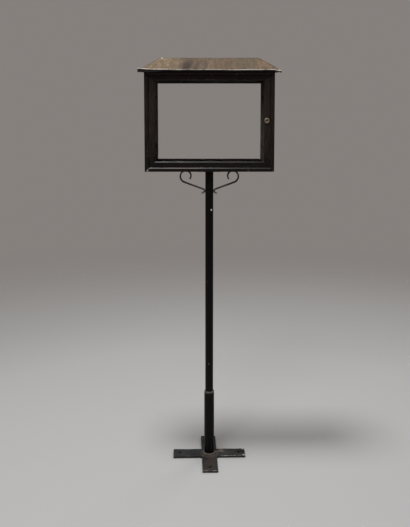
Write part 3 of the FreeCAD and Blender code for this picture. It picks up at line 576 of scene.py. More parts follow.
def setStage():
    scene = bpy.context.scene
    view = bpy.data.cameras.new("photo_view")
    view.sensor_width = cameraSet["sensor"]
    view.lens = cameraSet["lens"]
    view.shift_y = cameraSet["down"]
    tilt = math.radians(90 - cameraSet["tilt"])
    scene.camera = inScene("photo_view", view, cameraSet["place"], (tilt, 0.0, 0.0))
    for name, lamp in lamps.items():
        light = bpy.data.lights.new(name, "AREA")
        light.shape = "DISK"
        light.size = lamp["size"]
        light.energy = lamp["power"]
        inScene(name, light, lamp["place"], aimedAt(lamp["place"], lamp["aim"]))
    scene.world = bpy.data.worlds.new("studio")
    scene.world.use_nodes = True
    scene.world.node_tree.nodes["Background"].inputs[0].default_value = (*floorSet["backdrop"], 1.0)
    scene.view_settings.view_transform = "Standard"


def putFloor(look):
    # rings of points round the origin, pale grey that thins out to the backdrop with distance
    radius = np.concatenate([[0.05], np.geomspace(0.3, look["radius"], look["rings"])])[:, None]
    angle = np.arange(look["spokes"]) * 2 * math.pi / look["spokes"]
    points = together(radius * np.cos(angle), radius * np.sin(angle), 0.0).reshape(-1, 3)
    quads = gridQuads(len(radius), len(angle), False, True)
    mesh = bpy.data.meshes.new("floor")
    mesh.from_pydata(points.tolist(), [], quads.tolist() + [list(range(len(angle)))])
    mesh.polygons.foreach_set("use_smooth", np.ones(len(mesh.polygons), bool))
    mix = Finish("floor")
    mix.feed("Base Color", (*look["grey"], 1.0))
    mix.feed("Roughness", look["rough"])
    share = mix.spot(mix.place, (0.0, 0.0, 0.0), look["solid"], look["gone"])
    mix.blend(share, mix.add("BsdfTransparent").outputs[0], mix.shader.outputs[0])
    mesh.materials.append(mix.material)
    inScene("floor", mesh)


setStage()
putFloor(floorSet)
print("stage: camera, floor and", len(lamps), "lamps")


# frames: case front, case back and door

# the lower front bar's bevel is paled along the bar as a painted highlight: where (from, full, full, to), and
# how much;
# the back frame's inner faces are paled on each side, dust and painted light
frameSet = {"softness": 0.8, "mitreGroove": 0.25, "waviness": 0.02, "wave": 150.0, "step": 9.0,
            "endStep": 1.2, "bevelHighlight": (-192, -160, -75, 0, 0.8), "dustAndPaintedLight": {"left": 1.0, "right": 0.6},
            "doorGap": 1.5, "backSight": (216.5, 1282.5, 1598.75), "bevel": 4.5, "legThickness": 3.0}


def angleSection(width, thickness, leg, bevel):
    # L section: face plate, with a bevelled inner edge or a square one, and a leg along its outer edge
    thin = frameSet["legThickness"]
    corners = [(0, 0), *([(width - bevel, 0), (width, bevel)] if bevel else [(width, 0)]), (width, thickness)]
    corners += [(thin, thickness), (thin, leg), (0, leg)] if leg else [(0, thickness)]
    return softOutline(corners, frameSet["softness"])


def putFrame(look):
    # section point (across, depth), across counted inward from the frame's outer edge, carried along each
    # bar; both ends lie on the mitre planes through the frame's outer and inner corners
    (half, low, high), (sightHalf, sightLow, sightHigh) = look["outer"], look["inner"]
    edges = {"bottom": low, "right": half, "top": high, "left": -half}
    stile = half - sightHalf
    widths = {"bottom": sightLow - low, "right": stile, "top": high - sightHigh, "left": stile}
    for number, (side, width) in enumerate(widths.items()):
        level = side in ("bottom", "top")
        node = look["nodes"][0 if level else 1] + side
        leg = look["leg"] if side != "top" or look["topLeg"] else 0
        section, normals, worn = angleSection(width, look["thickness"], leg, look["bevel"])
        # painted light: the back frame's inner faces that look to the front are paled, more on the left than
        # the right
        if look["inward"] < 0 and not level:
            worn = np.where(normals[:, 1] > 0.7, -frameSet["dustAndPaintedLight"][side], worn)
        first, last = (-half, half) if level else (low, high)
        slopes = [widths[end] / width for end in (("left", "right") if level else ("bottom", "top"))]
        steps = ringSteps(last - first, frameSet["step"], frameSet["endStep"])[:, None] / (last - first)
        rough = ripple(together(steps * 500, *section.T), frameSet["wave"], look["seed"] + number)
        rough *= frameSet["waviness"]
        rough[[0, -1]] -= frameSet["mitreGroove"]
        across, depth = np.moveaxis(section + normals * rough[..., None], -1, 0)
        start, end = first + across * slopes[0], last - across * slopes[1]
        along = start + (end - start) * steps
        cross = edges[side] + across * (1 if side in ("left", "bottom") else -1)
        y = look["face"] + look["inward"] * depth
        wear = np.tile(worn, (len(steps), 1))
        # painted highlight: the bevel of the lower front bar is paled, most towards the left, for the lamp's
        # reflection
        if node == "front_bar_bottom":
            low0, low1, high1, high0, share = frameSet["bevelHighlight"]
            onBevel = (normals[:, 0] > 0.6) & (normals[:, 1] < -0.6)
            wear = np.where(onBevel, -share * ease(low0, low1, along) * ease(high0, high1, along), wear)
        points = np.stack([along, y, cross] if level else [cross, y, along], -1)
        brush = np.stack([along * strokeStretch, across, depth], -1)
        putPiece(node, [carried(points, wear, brush)], paints[look["paints"][number]])


def inside(outer, gap):
    # a frame's outline moved in by a gap
    return outer[0] - gap, outer[1] + gap, outer[2] - gap


caseLow, caseHigh = boxMm("front_bar_left")[0], boxMm("front_bar_right")[1]
doorLow, doorHigh = boxMm("door_rail_bottom")[0], boxMm("door_rail_top")[1]
doorBar = boxMm("door_rail_bottom")[1][2] - doorLow[2]
# half width, lower and upper edge of each frame's outside
caseOuter, doorOuter = (caseHigh[0], caseLow[2], caseHigh[2]), (doorHigh[0], doorLow[2], doorHigh[2])
doorOpening = inside(doorOuter, -frameSet["doorGap"])
putFrame({"nodes": ("front_bar_", "front_bar_"), "outer": caseOuter, "inner": doorOpening,
          "face": caseLow[1], "inward": 1, "thickness": 6.0, "leg": 28.0, "bevel": frameSet["bevel"],
          "topLeg": False, "seed": 11, "paints": ("case", "stile", "shade", "stile")})
putFrame({"nodes": ("back_bar_", "back_bar_"), "outer": caseOuter, "inner": frameSet["backSight"],
          "face": boxMm("back_bar_left")[1][1], "inward": -1, "thickness": 4.0, "leg": 22.0, "bevel": 0.0,
          "topLeg": False, "seed": 21, "paints": ("inner", "inner", "inner", "inner")})
putFrame({"nodes": ("door_rail_", "door_stile_"), "outer": doorOuter, "inner": inside(doorOuter, doorBar),
          "face": doorLow[1], "inward": 1, "thickness": 7.0, "leg": 18.0, "bevel": frameSet["bevel"],
          "topLeg": True, "seed": 31, "paints": ("case", "door", "shade", "door")})
print("frames: twelve mitred bars")


# case sheets

sheetSet = {"softness": 0.5, "bulge": 0.5, "wave": 180.0, "step": 12.0}


def putSheet(node, thin, seed):
    # flat sheet with a soft rim: a grid on each side, pushed by slow ripples that die out at the rim
    look, (low, high) = sheetSet, boxMm(node)
    size, soft = high - low, look["softness"]
    flat = [a for a in range(3) if a != thin]
    count = [int(size[a] / look["step"]) + 2 for a in flat]
    shares = np.meshgrid(*[np.linspace(0, 1, n) for n in count], indexing="ij")
    spread = np.stack([shares[0] * size[flat[0]], shares[1] * size[flat[1]], 0 * shares[0]], -1)
    wave = np.sin(math.pi * shares[0]) * np.sin(math.pi * shares[1]) * ripple(spread, look["wave"], seed)

    def layer(height, inset):
        points = np.zeros((*count, 3))
        for axis, share in zip(flat, shares):
            points[..., axis] = low[axis] + inset + share * (size[axis] - 2 * inset)
        points[..., thin] = height + wave * look["bulge"]
        return points.reshape(-1, 3)

    rings = [layer(height, 0.0)[gridRim(*count)] for height in (low[thin] + soft, high[thin] - soft)]
    shell = closedSheet(count, layer(low[thin], soft), rings, layer(high[thin], soft))
    putPiece(node, [shell], paints["case"])


for number, (node, thin) in enumerate((("case_side_left", 0), ("case_side_right", 0), ("case_floor", 2))):
    putSheet(node, thin, 41 + number)
print("case sheets: two sides and the floor")


# roof

# bends of the brim: size in mm, then from and to across (x) or from front to back (y)
roofSet = {"fold": (264.0, 65.0, 1659.5), "ridge": 203.0, "rise": 41.5, "brim": 26.5, "brimDrop": 11.0,
           "thickness": 2.2, "hem": 2.0, "hemDrop": 6.5, "hemTurn": 3.1, "softHip": 0.7, "softRidge": 1.0,
           "softKnee": 1.2, "cornerDraw": 4.0, "step": 3.2, "dents": (0.34, 95.0), "hammered": (0.11, 34.0),
           "edgeWave": (0.26, 62.0), "hemWave": (0.2, 21.0), "rightDroop": 0.8, "leftLift": (3.0, -238, -288),
           "rightFall": (6.6, 258, 278), "fallFront": (30, -70), "frontSag": 1.1, "sagFrom": (-190, -140),
           "sagTo": (272, 256), "dip": (1.5, 92, 30), "sagFront": (20, -60)}


def roofHeight(x, y, look):
    # the lower of the two slope heights at a point, rounded where they meet, then dents and a bent brim
    foldX, foldY, foldZ = look["fold"]
    brimSlope, knee, soft = look["brimDrop"] / look["brim"], look["softKnee"], look["softHip"]

    def slope(distance, fold, steep):
        within = fold - distance
        up, out = knee * np.logaddexp(0, within / knee), knee * np.logaddexp(0, -within / knee)
        corner = (steep - brimSlope) * knee * math.log(2) * np.exp(-(within / (2 * knee)) ** 2)
        return foldZ + steep * up - brimSlope * out - corner

    overY = slope(np.sqrt(y ** 2 + look["softRidge"] ** 2), foldY, look["rise"] / foldY)
    overX = slope(np.abs(x), foldX, look["rise"] / (foldX - look["ridge"]))
    z = -soft * np.logaddexp(-overY / soft, -overX / soft)

    def waves(name, seed):
        return look[name][0] * ripple(np.stack([x, y, 0 * x], -1), look[name][1], seed)

    def bend(name):
        return look[name][0] * ease(*look[name][1:], x)

    out = np.maximum(np.abs(x) - foldX, np.abs(y) - foldY) / look["brim"]
    brim, inner = np.clip(out, 0, 1), 1 - ease(-0.4, 0.15, out)
    z = z + inner * waves("dents", 51) * ease(2.0, 12.0, foldZ + look["rise"] - z)
    z = z + inner * waves("hammered", 52) + brim * waves("edgeWave", 53)
    z = z - brim * look["rightDroop"] * (x + foldX) / (2 * foldX) + brim * bend("leftLift")
    z = z - brim * bend("rightFall") * ease(*look["fallFront"], y)
    deep, middle, width = look["dip"]
    sag = look["frontSag"] * ease(*look["sagFrom"], x) * ease(*look["sagTo"], x)
    sag = sag + deep * np.exp(-((x - middle) / width) ** 2)
    return z - brim * sag * ease(*look["sagFront"], y)


def putRoof(look):
    # two skins of the roof's height, joined round their rims by the hem's section carried along the brim
    (foldX, foldY, _), ridge, deep = look["fold"], look["ridge"], look["hemDrop"]
    reach = [foldX + look["brim"], foldY + look["brim"]]
    count = [int(2 * r / look["step"]) // 2 * 2 + 1 for r in reach]
    u, v = np.meshgrid(*[np.linspace(-1, 1, n) for n in count], indexing="ij")
    drawn = look["cornerDraw"] * (u * v) ** 6

    def skin(inset, drop):
        x, y = u * (reach[0] - inset - drawn), v * (reach[1] - inset - 0.4 * drawn)
        return np.stack([x, y, roofHeight(x, y, look) - drop], -1).reshape(-1, 3)

    lip = 1.0  # the upper skin stops this far inside the hem's face
    upper, lower, rim = skin(lip, 0.0), skin(look["hem"], look["thickness"]), gridRim(*count)
    edge = upper[rim]
    share = np.stack([u.ravel()[rim], v.ravel()[rim]], -1)
    outward = np.where(np.abs(share) > 0.999, np.sign(share), 0)
    # hem section: (share of the hem's thickness outwards, drop below the brim's edge, wear)
    hem = [(0.80, 0.18, 1.0), (0.97, 0.6, 1.0), (1.0, 1.3, 1.0), (1.0, 2.1, 0.7), (1.0, 2.9, 0.0),
           (1.0, deep - 0.8, 0.0), (0.86, deep - 0.2, 0.1), (0.5, deep, 0.05), (0.14, deep - 0.2, 0.0),
           (0.0, deep - 0.7, 0.0), (0.0, 3.2, 0.0)]
    # the hem hangs deeper at the left front and is shallower along the back, most at its right end
    x, y = edge[:, 0], edge[:, 1]
    atBack = 0.38 + 0.37 * ease(200, 280, x) - 0.2 * ease(-200, -280, x)
    deeper = 1 + 1.2 * ease(-150, -280, x) * ease(80, -80, y) - atBack * ease(-70, 50, y)
    uneven = look["hemWave"][0] * ripple(edge, look["hemWave"][1], 54)
    rings = []
    for share, drop, _ in hem:
        ring = edge.copy()
        ring[:, :2] += outward * (share * look["hem"] - lip)
        ring[:, 2] -= drop * deeper + uneven if drop > look["hemTurn"] else drop
        rings.append(ring)
    # its edge is worn less under the stains and along the middle
    stained, middle = np.exp(-((x + 86) / 26) ** 2), ease(-140, -100, x) * ease(150, 100, x)
    hemWear = np.outer([worn for _, _, worn in hem], 1 - 0.4 * stained - 0.28 * middle)
    # rubbed along the upper edge and at the front corners, partly a painted highlight of the light caught
    # there; darker along the ridge and hips
    x, y = upper[:, 0], upper[:, 1]
    toEdge = np.maximum((np.abs(u) - 1) * reach[0], (np.abs(v) - 1) * reach[1]).ravel() - lip
    rubbed = ease(-4.2, -1.4, toEdge) * (1 - 0.55 * ease(-170, -130, x))
    corner = np.maximum(ease(270, 284, x), ease(-268, -288, x)) * ease(-66, -86, y)
    rubbed = np.maximum(rubbed, 0.5 * corner)
    onRidge = ease(4.0, 1.0, np.abs(y)) * ease(ridge + 12, ridge, np.abs(x))
    hipGap = np.abs((foldX - np.abs(x)) * foldY / (foldX - ridge) - (foldY - np.abs(y)))
    onHip = ease(7.0, 2.0, hipGap) * ease(ridge - 6, ridge + 6, np.abs(x))
    ridgeAndHipDark = np.maximum((0.5 + 0.4 * ease(-40, 40, x)) * onRidge, 0.9 * onHip)
    wear = np.concatenate([np.where(rubbed > 0.02, rubbed, -ridgeAndHipDark), hemWear.ravel(), np.zeros(len(lower))])
    putPiece("roof_sheet", [closedSheet(count, upper, rings, lower, wear)], slotFinish["roof_patina"], 50)


putRoof(roofSet)
print("roof: beaten sheet with its hem")


# scroll brackets

scrollSet = {"thickness": 6.0, "width": 20.0, "offset": 97.5, "crown": 1238.9, "inner": 21.0, "top": 23.5,
             "outer": 26.0, "curl": 40.0, "slope": 20.0, "foot": 8.0, "footSweep": 140.0, "tail": 8.0,
             "soft": 1.1, "fade": 1.6, "widest": 3.0, "hammered": 0.13, "hammerWave": 17.0, "step": 2.4,
             "endStep": 1.5, "endRound": 0.9, "postGap": 0.1, "edgeWear": 0.16, "dustAndPaintedLight": 0.6}


def scrollPath(look, postRadius):
    # bends and straight runs in turn: heading is the running sum of curvature, place that of heading
    half, inner, top, outer, foot = (look[key] for key in ("thickness", "inner", "top", "outer", "foot"))
    half /= 2
    curl, slope = math.radians(look["curl"]), math.radians(look["slope"])
    outX = -look["offset"] - top + outer - outer * math.sin(slope)
    footX = -postRadius - look["postGap"] - half - foot * (1 - math.sin(slope))
    # (length, curvature) of each move
    moves = np.array([(inner * (quarter + curl), 1 / inner), (top * quarter, 1 / top),
                      (outer * (quarter - slope), 1 / outer), ((footX - outX) / math.cos(slope), 0.0),
                      (foot * math.radians(look["footSweep"]), -1 / foot), (look["tail"], 0.0)])
    ends = np.concatenate([[0], np.cumsum(moves[:, 0])])
    turned = np.concatenate([[0], np.cumsum(moves[:, 0] * moves[:, 1])])
    s = np.linspace(0, ends[-1], 4001)
    heading = quarter - curl + np.interp(s, ends, turned)
    between = heading - 0.5 * np.diff(heading, prepend=heading[0])
    step = np.diff(s, prepend=s[0])
    x = -look["offset"] + inner * math.cos(curl) + np.cumsum(np.cos(between) * step)
    z = look["crown"] - half - inner - inner * math.sin(curl) + np.cumsum(np.sin(between) * step)
    places = ringSteps(ends[-1], look["step"], look["endStep"])
    return places, *[np.interp(places, s, values)[:, None] for values in (x, z, heading)]


def putScroll(node, side, seed):
    # flat-bar section carried along the path and turned to its heading, hammered, its ends rounded off
    look = scrollSet
    places, x, z, heading = scrollPath(look, boxMm("post_tube")[1][0])
    thin, wide = look["thickness"] / 2, look["width"] / 2
    section, normals, worn = softOutline([(-thin, -wide), (thin, -wide), (thin, wide), (-thin, wide)],
                                         look["soft"], look["fade"], 4, look["widest"])
    toTail = places[-1] - places
    nearEnd = 1 - np.clip(np.minimum(places, toTail) / look["endStep"], 0, 1)
    inset = look["endRound"] * (1 - np.sqrt(np.clip(1 - nearEnd ** 2, 0, 1)))
    rough = ripple(together(places[:, None], *section.T), look["hammerWave"], seed) * look["hammered"]
    moved = section + normals * (rough - inset[:, None])[..., None]
    points = np.stack([-side * (x - np.sin(heading) * moved[..., 0]), moved[..., 1],
                       z + np.cos(heading) * moved[..., 0]], -1)
    # edges lightly rubbed; the arm's upper side paled towards the post, dust and a painted highlight of its
    # lit top;
    # the tail's tip bare on one side, worn and a painted highlight too
    tip = ease(11.0, 8.0, toTail)[:, None] * (section[:, 0] < 1.0)
    nearPost = ease(125.0, 60.0, toTail)[:, None] * (np.cos(heading) > 0.1)
    dustAndPaintedLight = look["dustAndPaintedLight"] * nearPost * (section[:, 0] > 1.2)
    wear = np.maximum(np.maximum(look["edgeWear"] * worn, tip), dustAndPaintedLight)
    brush = together(places[:, None] * strokeStretch, *section.T)
    putPiece(node, [carried(points, wear, brush)], paints["scroll"], 60)


putScroll("scroll_left", -1, 61)
putScroll("scroll_right", 1, 62)
print("scrolls: two bent flat bars")


# post, socket and weld bead

tubes = {
    "post_tube": {"wall": 3.25, "edge": 0.6, "step": 16.0, "rimWear": 0.0, "paint": "post", "seed": 71},
    "socket_tube": {"wall": 4.0, "edge": 1.1, "step": 9.0, "rimWear": 1.0, "paint": "socket", "seed": 72},
}
tubeSet = {"outOfRound": 0.0025, "wave": 46.0, "segments": 96}
weldSet = {"overlap": 0.2, "swell": 2.0, "power": 0.8, "lumps": 31, "lumpy": 0.045, "uneven": 0.035,
           "wave": 26.0, "segments": 240}


def tubeSection(low, high, outer, inner, edge, steps):
    # closed loop up the outside and down the bore, with rounded rims
    z = np.linspace(low + edge, high - edge, steps)
    c, s = (edge * part[1:-1] for part in arc(5))
    out, into, top, foot = outer - edge, inner + edge, high - edge, low + edge
    radius = [np.full(steps, outer), out + c, [out, into], into - s,
              np.full(steps, inner), into - c, [into, out], out + s]
    height = [z, top + s, [high, high], top + c, z[::-1], foot - s, [low, low], foot - c]
    return np.column_stack([np.concatenate(radius), np.concatenate(height)])


def putTube(node, look):
    # the section carried round the post's axis, slightly out of round; wear follows the upper rim
    low, high = boxMm(node)
    outer = high[0]
    inner = outer - look["wall"]
    steps = max(3, int((high[2] - low[2]) / look["step"]))
    section = tubeSection(low[2], high[2], outer, inner, look["edge"], steps)
    wear = look["rimWear"] * ease(1.7, 0.6, high[2] - section[:, 1]) * (section[:, 0] > inner + 0.01)

    def squeeze(angle, height):
        around = together(np.cos(angle) * outer, np.sin(angle) * outer, height)
        uneven = ripple(around, tubeSet["wave"], look["seed"])
        return 1 + tubeSet["outOfRound"] * uneven * ease(0.0, 8.0, height - low[2])

    shell = revolve(section, (0, 0, 0), (0, 0, 1), tubeSet["segments"], True, wear, squeeze)
    putPiece(node, [shell], paints[look["paint"]], 40)


def putWeld(look):
    # bead round the socket's foot: a humped section carried round, lumpy where each run of the rod overlaps
    low, high = boxMm("socket_weld")
    inner = boxMm("socket_tube")[1][0] - look["overlap"]
    outer = high[0] + look["swell"]
    c, s = arc(9)
    hump = np.stack([inner + (outer - inner) * c ** look["power"],
                     low[2] + (high[2] - low[2]) * s ** look["power"]], -1)
    section = np.concatenate([hump, [(inner, low[2])]])

    def squeeze(angle, height):
        lumps = np.abs(np.sin(angle * look["lumps"] / 2)) ** 0.6
        uneven = ripple(together(np.cos(angle) * 24, np.sin(angle) * 24, height), look["wave"], 73)
        size = 1 + look["lumpy"] * (lumps - 0.7) + look["uneven"] * uneven
        return np.where(height <= low[2] + 0.01, 1.0, size)

    shell = revolve(section, (0, 0, 0), (0, 0, 1), look["segments"], True, 0.0, squeeze)
    putPiece("socket_weld", [shell], metals["weld_bead"], 60)


for node, look in tubes.items():
    putTube(node, look)
putWeld(weldSet)
print("post, socket and weld bead")


# base cross

baseSet = {"turn": 1.5, "armReach": 155.0, "barReach": 160.0, "half": 32.5, "thickness": 10.0, "hole": 6.0,
           "holeAt": 128.0, "holeLand": 1.6, "edge": 1.3, "rimLand": 2.2, "cornerCut": 2.2, "lift": 0.25,
           "wave": 55.0, "step": 2.5}
# wear of each arm's rim by place: x from the middle outwards, y across
baseWear = {
    "base_arm_right": lambda x, y: np.maximum(0.12 + 0.6 * (y < -20) * ease(44, 60, x),
                                              ease(146, 153, x) * ease(14, 26, np.abs(y))),
    "base_arm_left": lambda x, y: 0.10 + 0.2 * ease(148, 155, x),
    "front": lambda x, y: 0.10 + 0.5 * ease(149, 158, x) * ease(4, 20, np.abs(y)),
    "rear": lambda x, y: 0.10 + 0 * x,
}


def plateRim(startX, endX):
    # outline from one corner of the butt end round the free end and back, then along the butt end
    half, cut = baseSet["half"], baseSet["cornerCut"]
    along = np.linspace(startX, endX - cut, int((endX - startX) / baseSet["step"]) + 2)
    c, s = (part[1:-1] for part in arc(6))
    free, butt = np.linspace(-half + cut, half - cut, 25), np.linspace(half, -half, 27)[1:-1]
    # each stretch: x, y, outward way in x, outward way in y
    stretches = [(along, -half, 0, -1), (endX - cut + cut * s, -half + cut - cut * c, s, -c),
                 (endX, free, 1, 0), (endX - cut + cut * c, half - cut + cut * s, c, s),
                 (along[::-1], half, 0, 1), (startX, butt, -1, 0)]
    rim = np.concatenate([together(*stretch) for stretch in stretches]).astype(float)
    return rim[:, :2], rim[:, 2:], np.arange(len(rim)) >= len(rim) - len(butt)


def holedPlate(startX, endX, seed, wearAt):
    # plate with one hole, as a ring: the section goes over the top from the hole's rim to the outer rim,
    # down the side, back underneath and up the hole, and is carried round the hole; the butt end stays square
    look = baseSet
    edge, top, holeLand, rimLand = (look[key] for key in ("edge", "thickness", "holeLand", "rimLand"))
    rim, way, butt = plateRim(startX, endX)
    angle = np.arctan2(rim[:, 1], rim[:, 0] - look["holeAt"])
    spoke = np.column_stack([np.cos(angle), np.sin(angle)])
    hole = np.array([look["holeAt"], 0.0]) + look["hole"] * spoke
    c, s = arc(5)
    over = list(zip(edge * (1 - s), top - edge * (1 - c)))
    under = list(zip(edge * (1 - c), edge * (1 - s)))
    # (where it is counted from, distance, height, wear)
    section = [("hole", *place, 0.12) for place in over[::-1]] + [("hole", edge + holeLand, top, 0.0)]
    section += [("span", s, top, 0.0) for s in np.linspace(0.08, 0.92, 13)]
    section += [("rim", edge + rimLand, top, 0.0), ("rim", edge + 1.0, top, 0.0)]
    section += [("rim", *place, 1.0) for place in over]
    section += [("rim", 0.0, top - edge - 1.0, 0.0), ("rim", 0.0, edge + 1.0, 0.0)]
    section += [("rim", *place, 0.2) for place in under]
    section += [("span", s, 0.0, 0.0) for s in np.linspace(0.9, 0.1, 5)]
    # painted shade: the hole's bore gets wear -1, which the iron's finish darkens
    section += [("hole", *place, -1.0) for place in under[::-1]]
    section += [("hole", 0.0, top * 0.5, -1.0), ("hole", 0.0, top - edge - 0.6, -1.0)]
    near, far = hole + spoke * (edge + holeLand), rim - way * (edge + rimLand)
    rimWear = wearAt(*rim.T) * ease(startX + 2, startX + 9, rim[:, 0])
    rows, wear = [], []
    for kind, size, z, worn in section:
        inset = np.where(butt & (size <= edge), 0.0, size)[:, None]
        flat = {"hole": hole + spoke * size, "span": near + (far - near) * size, "rim": rim - way * inset}
        rows.append(np.column_stack([flat[kind], np.full(len(rim), z)]))
        wear.append(np.where(butt, 0.0, worn * (rimWear if kind == "rim" else 1.0)))
    points = np.stack(rows)
    uneven = look["lift"] * ripple(points * [1, 1, 0], look["wave"], seed)
    points[..., 2] += uneven * (points[..., 2] > top / 2) * ease(startX, startX + 25, points[..., 0])
    return points.reshape(-1, 3), gridQuads(*points.shape[:2], True, True), np.concatenate(wear)


def armOf(key, startX, endX, degrees, seed):
    # a plate turned about the upright axis; where two plates meet in the middle, the faces there are left out
    points, quads, wear = holedPlate(startX, endX, seed, baseWear[key])
    c, s = (f(math.radians(degrees + baseSet["turn"])) for f in (math.cos, math.sin))
    shell = shellOf(points @ [[c, s, 0], [-s, c, 0], [0, 0, 1]], quads, (), wear)
    if startX == 0:
        shell["quads"] = shell["quads"][~(np.abs(points[:, 0]) < 0.001)[shell["quads"]].all(1)]
    return shell


def putBase():
    # an arm to each side, and a bar of two halves that share their middle
    look, iron = baseSet, slotFinish["base_iron"]
    for node, degrees, seed in (("base_arm_right", 0, 81), ("base_arm_left", 180, 82)):
        putPiece(node, [armOf(node, look["half"], look["armReach"], degrees, seed)], iron, 45)
    halves = [armOf(end, 0.0, look["barReach"], degrees, seed)
              for end, degrees, seed in (("rear", 90, 83), ("front", 270, 84))]
    joinSeam(putPiece("base_bar", halves, iron, 45))


putBase()
print("base: bar and two arms")


# knob and its rosette

knobSet = {"radius": 11.0, "neck": 4.5, "neckLength": 4.0, "length": 12.5, "rim": 3.8, "dish": 2.6,
           "bore": 3.05, "swell": 3.4, "neckWear": 0.15, "lipWear": 0.8, "dishWear": [-0.8, -0.7, -0.2, 0.45]}


def putKnob(look):
    # turned profile (radius, way out from the door): neck, swelling back, rounded lip, dished face
    low, high = boxMm("knob")
    middle, ahead = (low + high) / 2, (0, -1, 0)
    radius, rim, length, neck, dish = (look[key] for key in ("radius", "rim", "length", "neck", "dish"))
    c, s = arc(8)
    start, edge = neck + 0.4, radius - rim
    swell = np.column_stack([start + (radius - start) * s,
                             look["neckLength"] - 0.3 + look["swell"] * (1 - c)])
    lip = np.column_stack([edge + rim * c, length - rim + rim * s])
    ball = (edge ** 2 + dish ** 2) / (2 * dish)
    share = np.linspace(0.93, 0.02, 12)
    bowl = np.column_stack([edge * share, length - (np.sqrt(ball ** 2 - (edge * share) ** 2) - ball + dish)])
    profile = np.concatenate([[(neck, 0.0), (neck, 1.2), (neck - 0.35, 2.4)], swell, lip, bowl])
    wear = np.concatenate([np.repeat([0.0, look["neckWear"], look["lipWear"]], [3, 8, 8]),
                           np.interp(share, [0.0, 0.3, 0.55, 0.95], look["dishWear"])])
    shell = revolve(profile, (middle[0], high[1], middle[2]), ahead, 64, False, wear)
    putPiece("knob", [shell], metals["brass"], 60)
    low, high = boxMm("knob_rosette")
    outer, thick, bore = (high[0] - low[0]) / 2, high[1] - low[1], look["bore"]
    rose = [(outer, 0.0), (outer, thick * 0.45), (outer - 0.5, thick * 0.85), (outer - 1.3, thick),
            (outer - 2.4, thick * 0.92), (outer - 3.1, thick), (bore + 0.2, thick), (bore, thick - 0.2),
            (bore, 0.0)]
    shell = revolve(rose, (middle[0], high[1], middle[2]), ahead, 64, True, 0.5)
    putPiece("knob_rosette", [shell], metals["brass"], 60)


putKnob(knobSet)
print("knob and rosette")


# small fittings: clips, screws, nuts, washers, rivets, cleats, door stops, keeper and cam

# screws: shank, head, height of the head; rings: bore and outer radius, of a nut its width over the flats
fittingSet = {
    "soft": 0.35, "slot": 0.15, "slotDepth": 0.42, "clipRows": (100.0, 120.0), "clipWidth": 14.0,
    "clipReach": 6.75, "clipThick": 1.5, "clipSoft": 0.3, "cleatAt": 150.0, "cleatWidth": 30.0,
    "cleatThick": 3.0, "cleatTall": 24.0, "cleatReach": 24.0, "cleatWalls": (59.0, 61.0),
    "headAt": (35.0, 25.0), "headSunk": 3.0, "rivetAt": 97.5, "rivetHead": (4.5, 2.5), "rivetShank": 2.5,
    "keeperScrews": (-8.0, 8.0), "stopHeight": 20.0, "bent": 2.0, "spindle": 3.0, "camRound": 5.9,
    "clipScrew": (1.5, 2.75, 2.0), "roofScrew": (2.5, 4.5, 3.0), "headScrew": (3.0, 6.0, 1.6),
    "keeperScrew": (1.5, 2.75, 1.5), "headWasher": (3.2, 6.0), "headNut": (3.05, 10.0),
    "bush": (3.05, 4.55), "washer": (3.02, 5.5), "nut": (3.02, 10.0),
}
rightWay, backWay, upWay = np.eye(3)


def extrude(corners, origin, ways, length, soft, bend=None):
    # soft-cornered outline in the plane of the first two ways, carried along the third, its ends rounded over
    section, normals, worn = softOutline(corners, bend or soft, 0.5, 8 if bend else 3, 8.0)
    lead, inset = (soft * (1 - part) for part in arc(4))
    place = np.concatenate([lead, length - lead[::-1]])
    inset = np.concatenate([inset, inset[::-1]])
    ways = np.asarray(ways, float)
    moved = section - normals * inset[:, None, None]
    points = np.asarray(origin, float) + moved @ ways[:2] + place[:, None, None] * ways[2]
    return carried(points, np.tile(0.3 * worn, len(place)))


def screwAt(seat, inward, sizes, depth, number, sunkBy=0.0):
    # slotted head: chords across a circle, raised towards its middle, dropped between the slot's two walls;
    # a sunk head is flat and narrows to the shank
    shank, head, height = sizes
    inward = np.asarray(inward, float)
    side, other = sideways(-inward)
    angle = 0.7 + 1.9 * number
    c, s = math.cos(angle), math.sin(angle)
    ways = np.stack([side * c + other * s, other * c - side * s, -inward])
    wall, cols = math.asin(fittingSet["slot"]), 11
    flank = np.linspace(wall, quarter, 8)
    turn = np.concatenate([-flank[::-1], np.linspace(-wall, wall, 3), flank])
    dropped = np.repeat([0.0, fittingSet["slotDepth"], 0.0], [8, 3, 8])[:, None]
    x = np.repeat(np.sin(turn)[:, None], cols, 1)
    y = np.cos(turn)[:, None] * np.sin(np.linspace(-quarter, quarter, cols))
    dome = np.sqrt(np.clip(1 - x ** 2 - y ** 2, 0, 1))
    z = height * ((0.1 * dome if sunkBy else 0.5 + 0.5 * dome) - dropped)
    top = np.stack([x * head, y * head, z], -1).reshape(-1, 3)
    ends = np.arange(len(turn)) * cols
    rim = np.concatenate([ends, (ends + cols - 1)[::-1]])
    narrow = shank / head if sunkBy else 1
    foot = top[rim] * [narrow, narrow, 0] - [0, 0, sunkBy]
    low = len(top) + np.arange(len(rim))
    points = np.asarray(seat, float) + np.concatenate([top, foot]) @ ways
    made = shellOf(points, np.concatenate([gridQuads(len(turn), cols), ringBands([rim, low])]), [low], 0.3)
    rod = [(shank, sunkBy), (shank, depth - 0.5), (shank - 0.5, depth), (0.05, depth)]
    return [made, revolve(rod, seat, inward, 24, False, 0.2)]


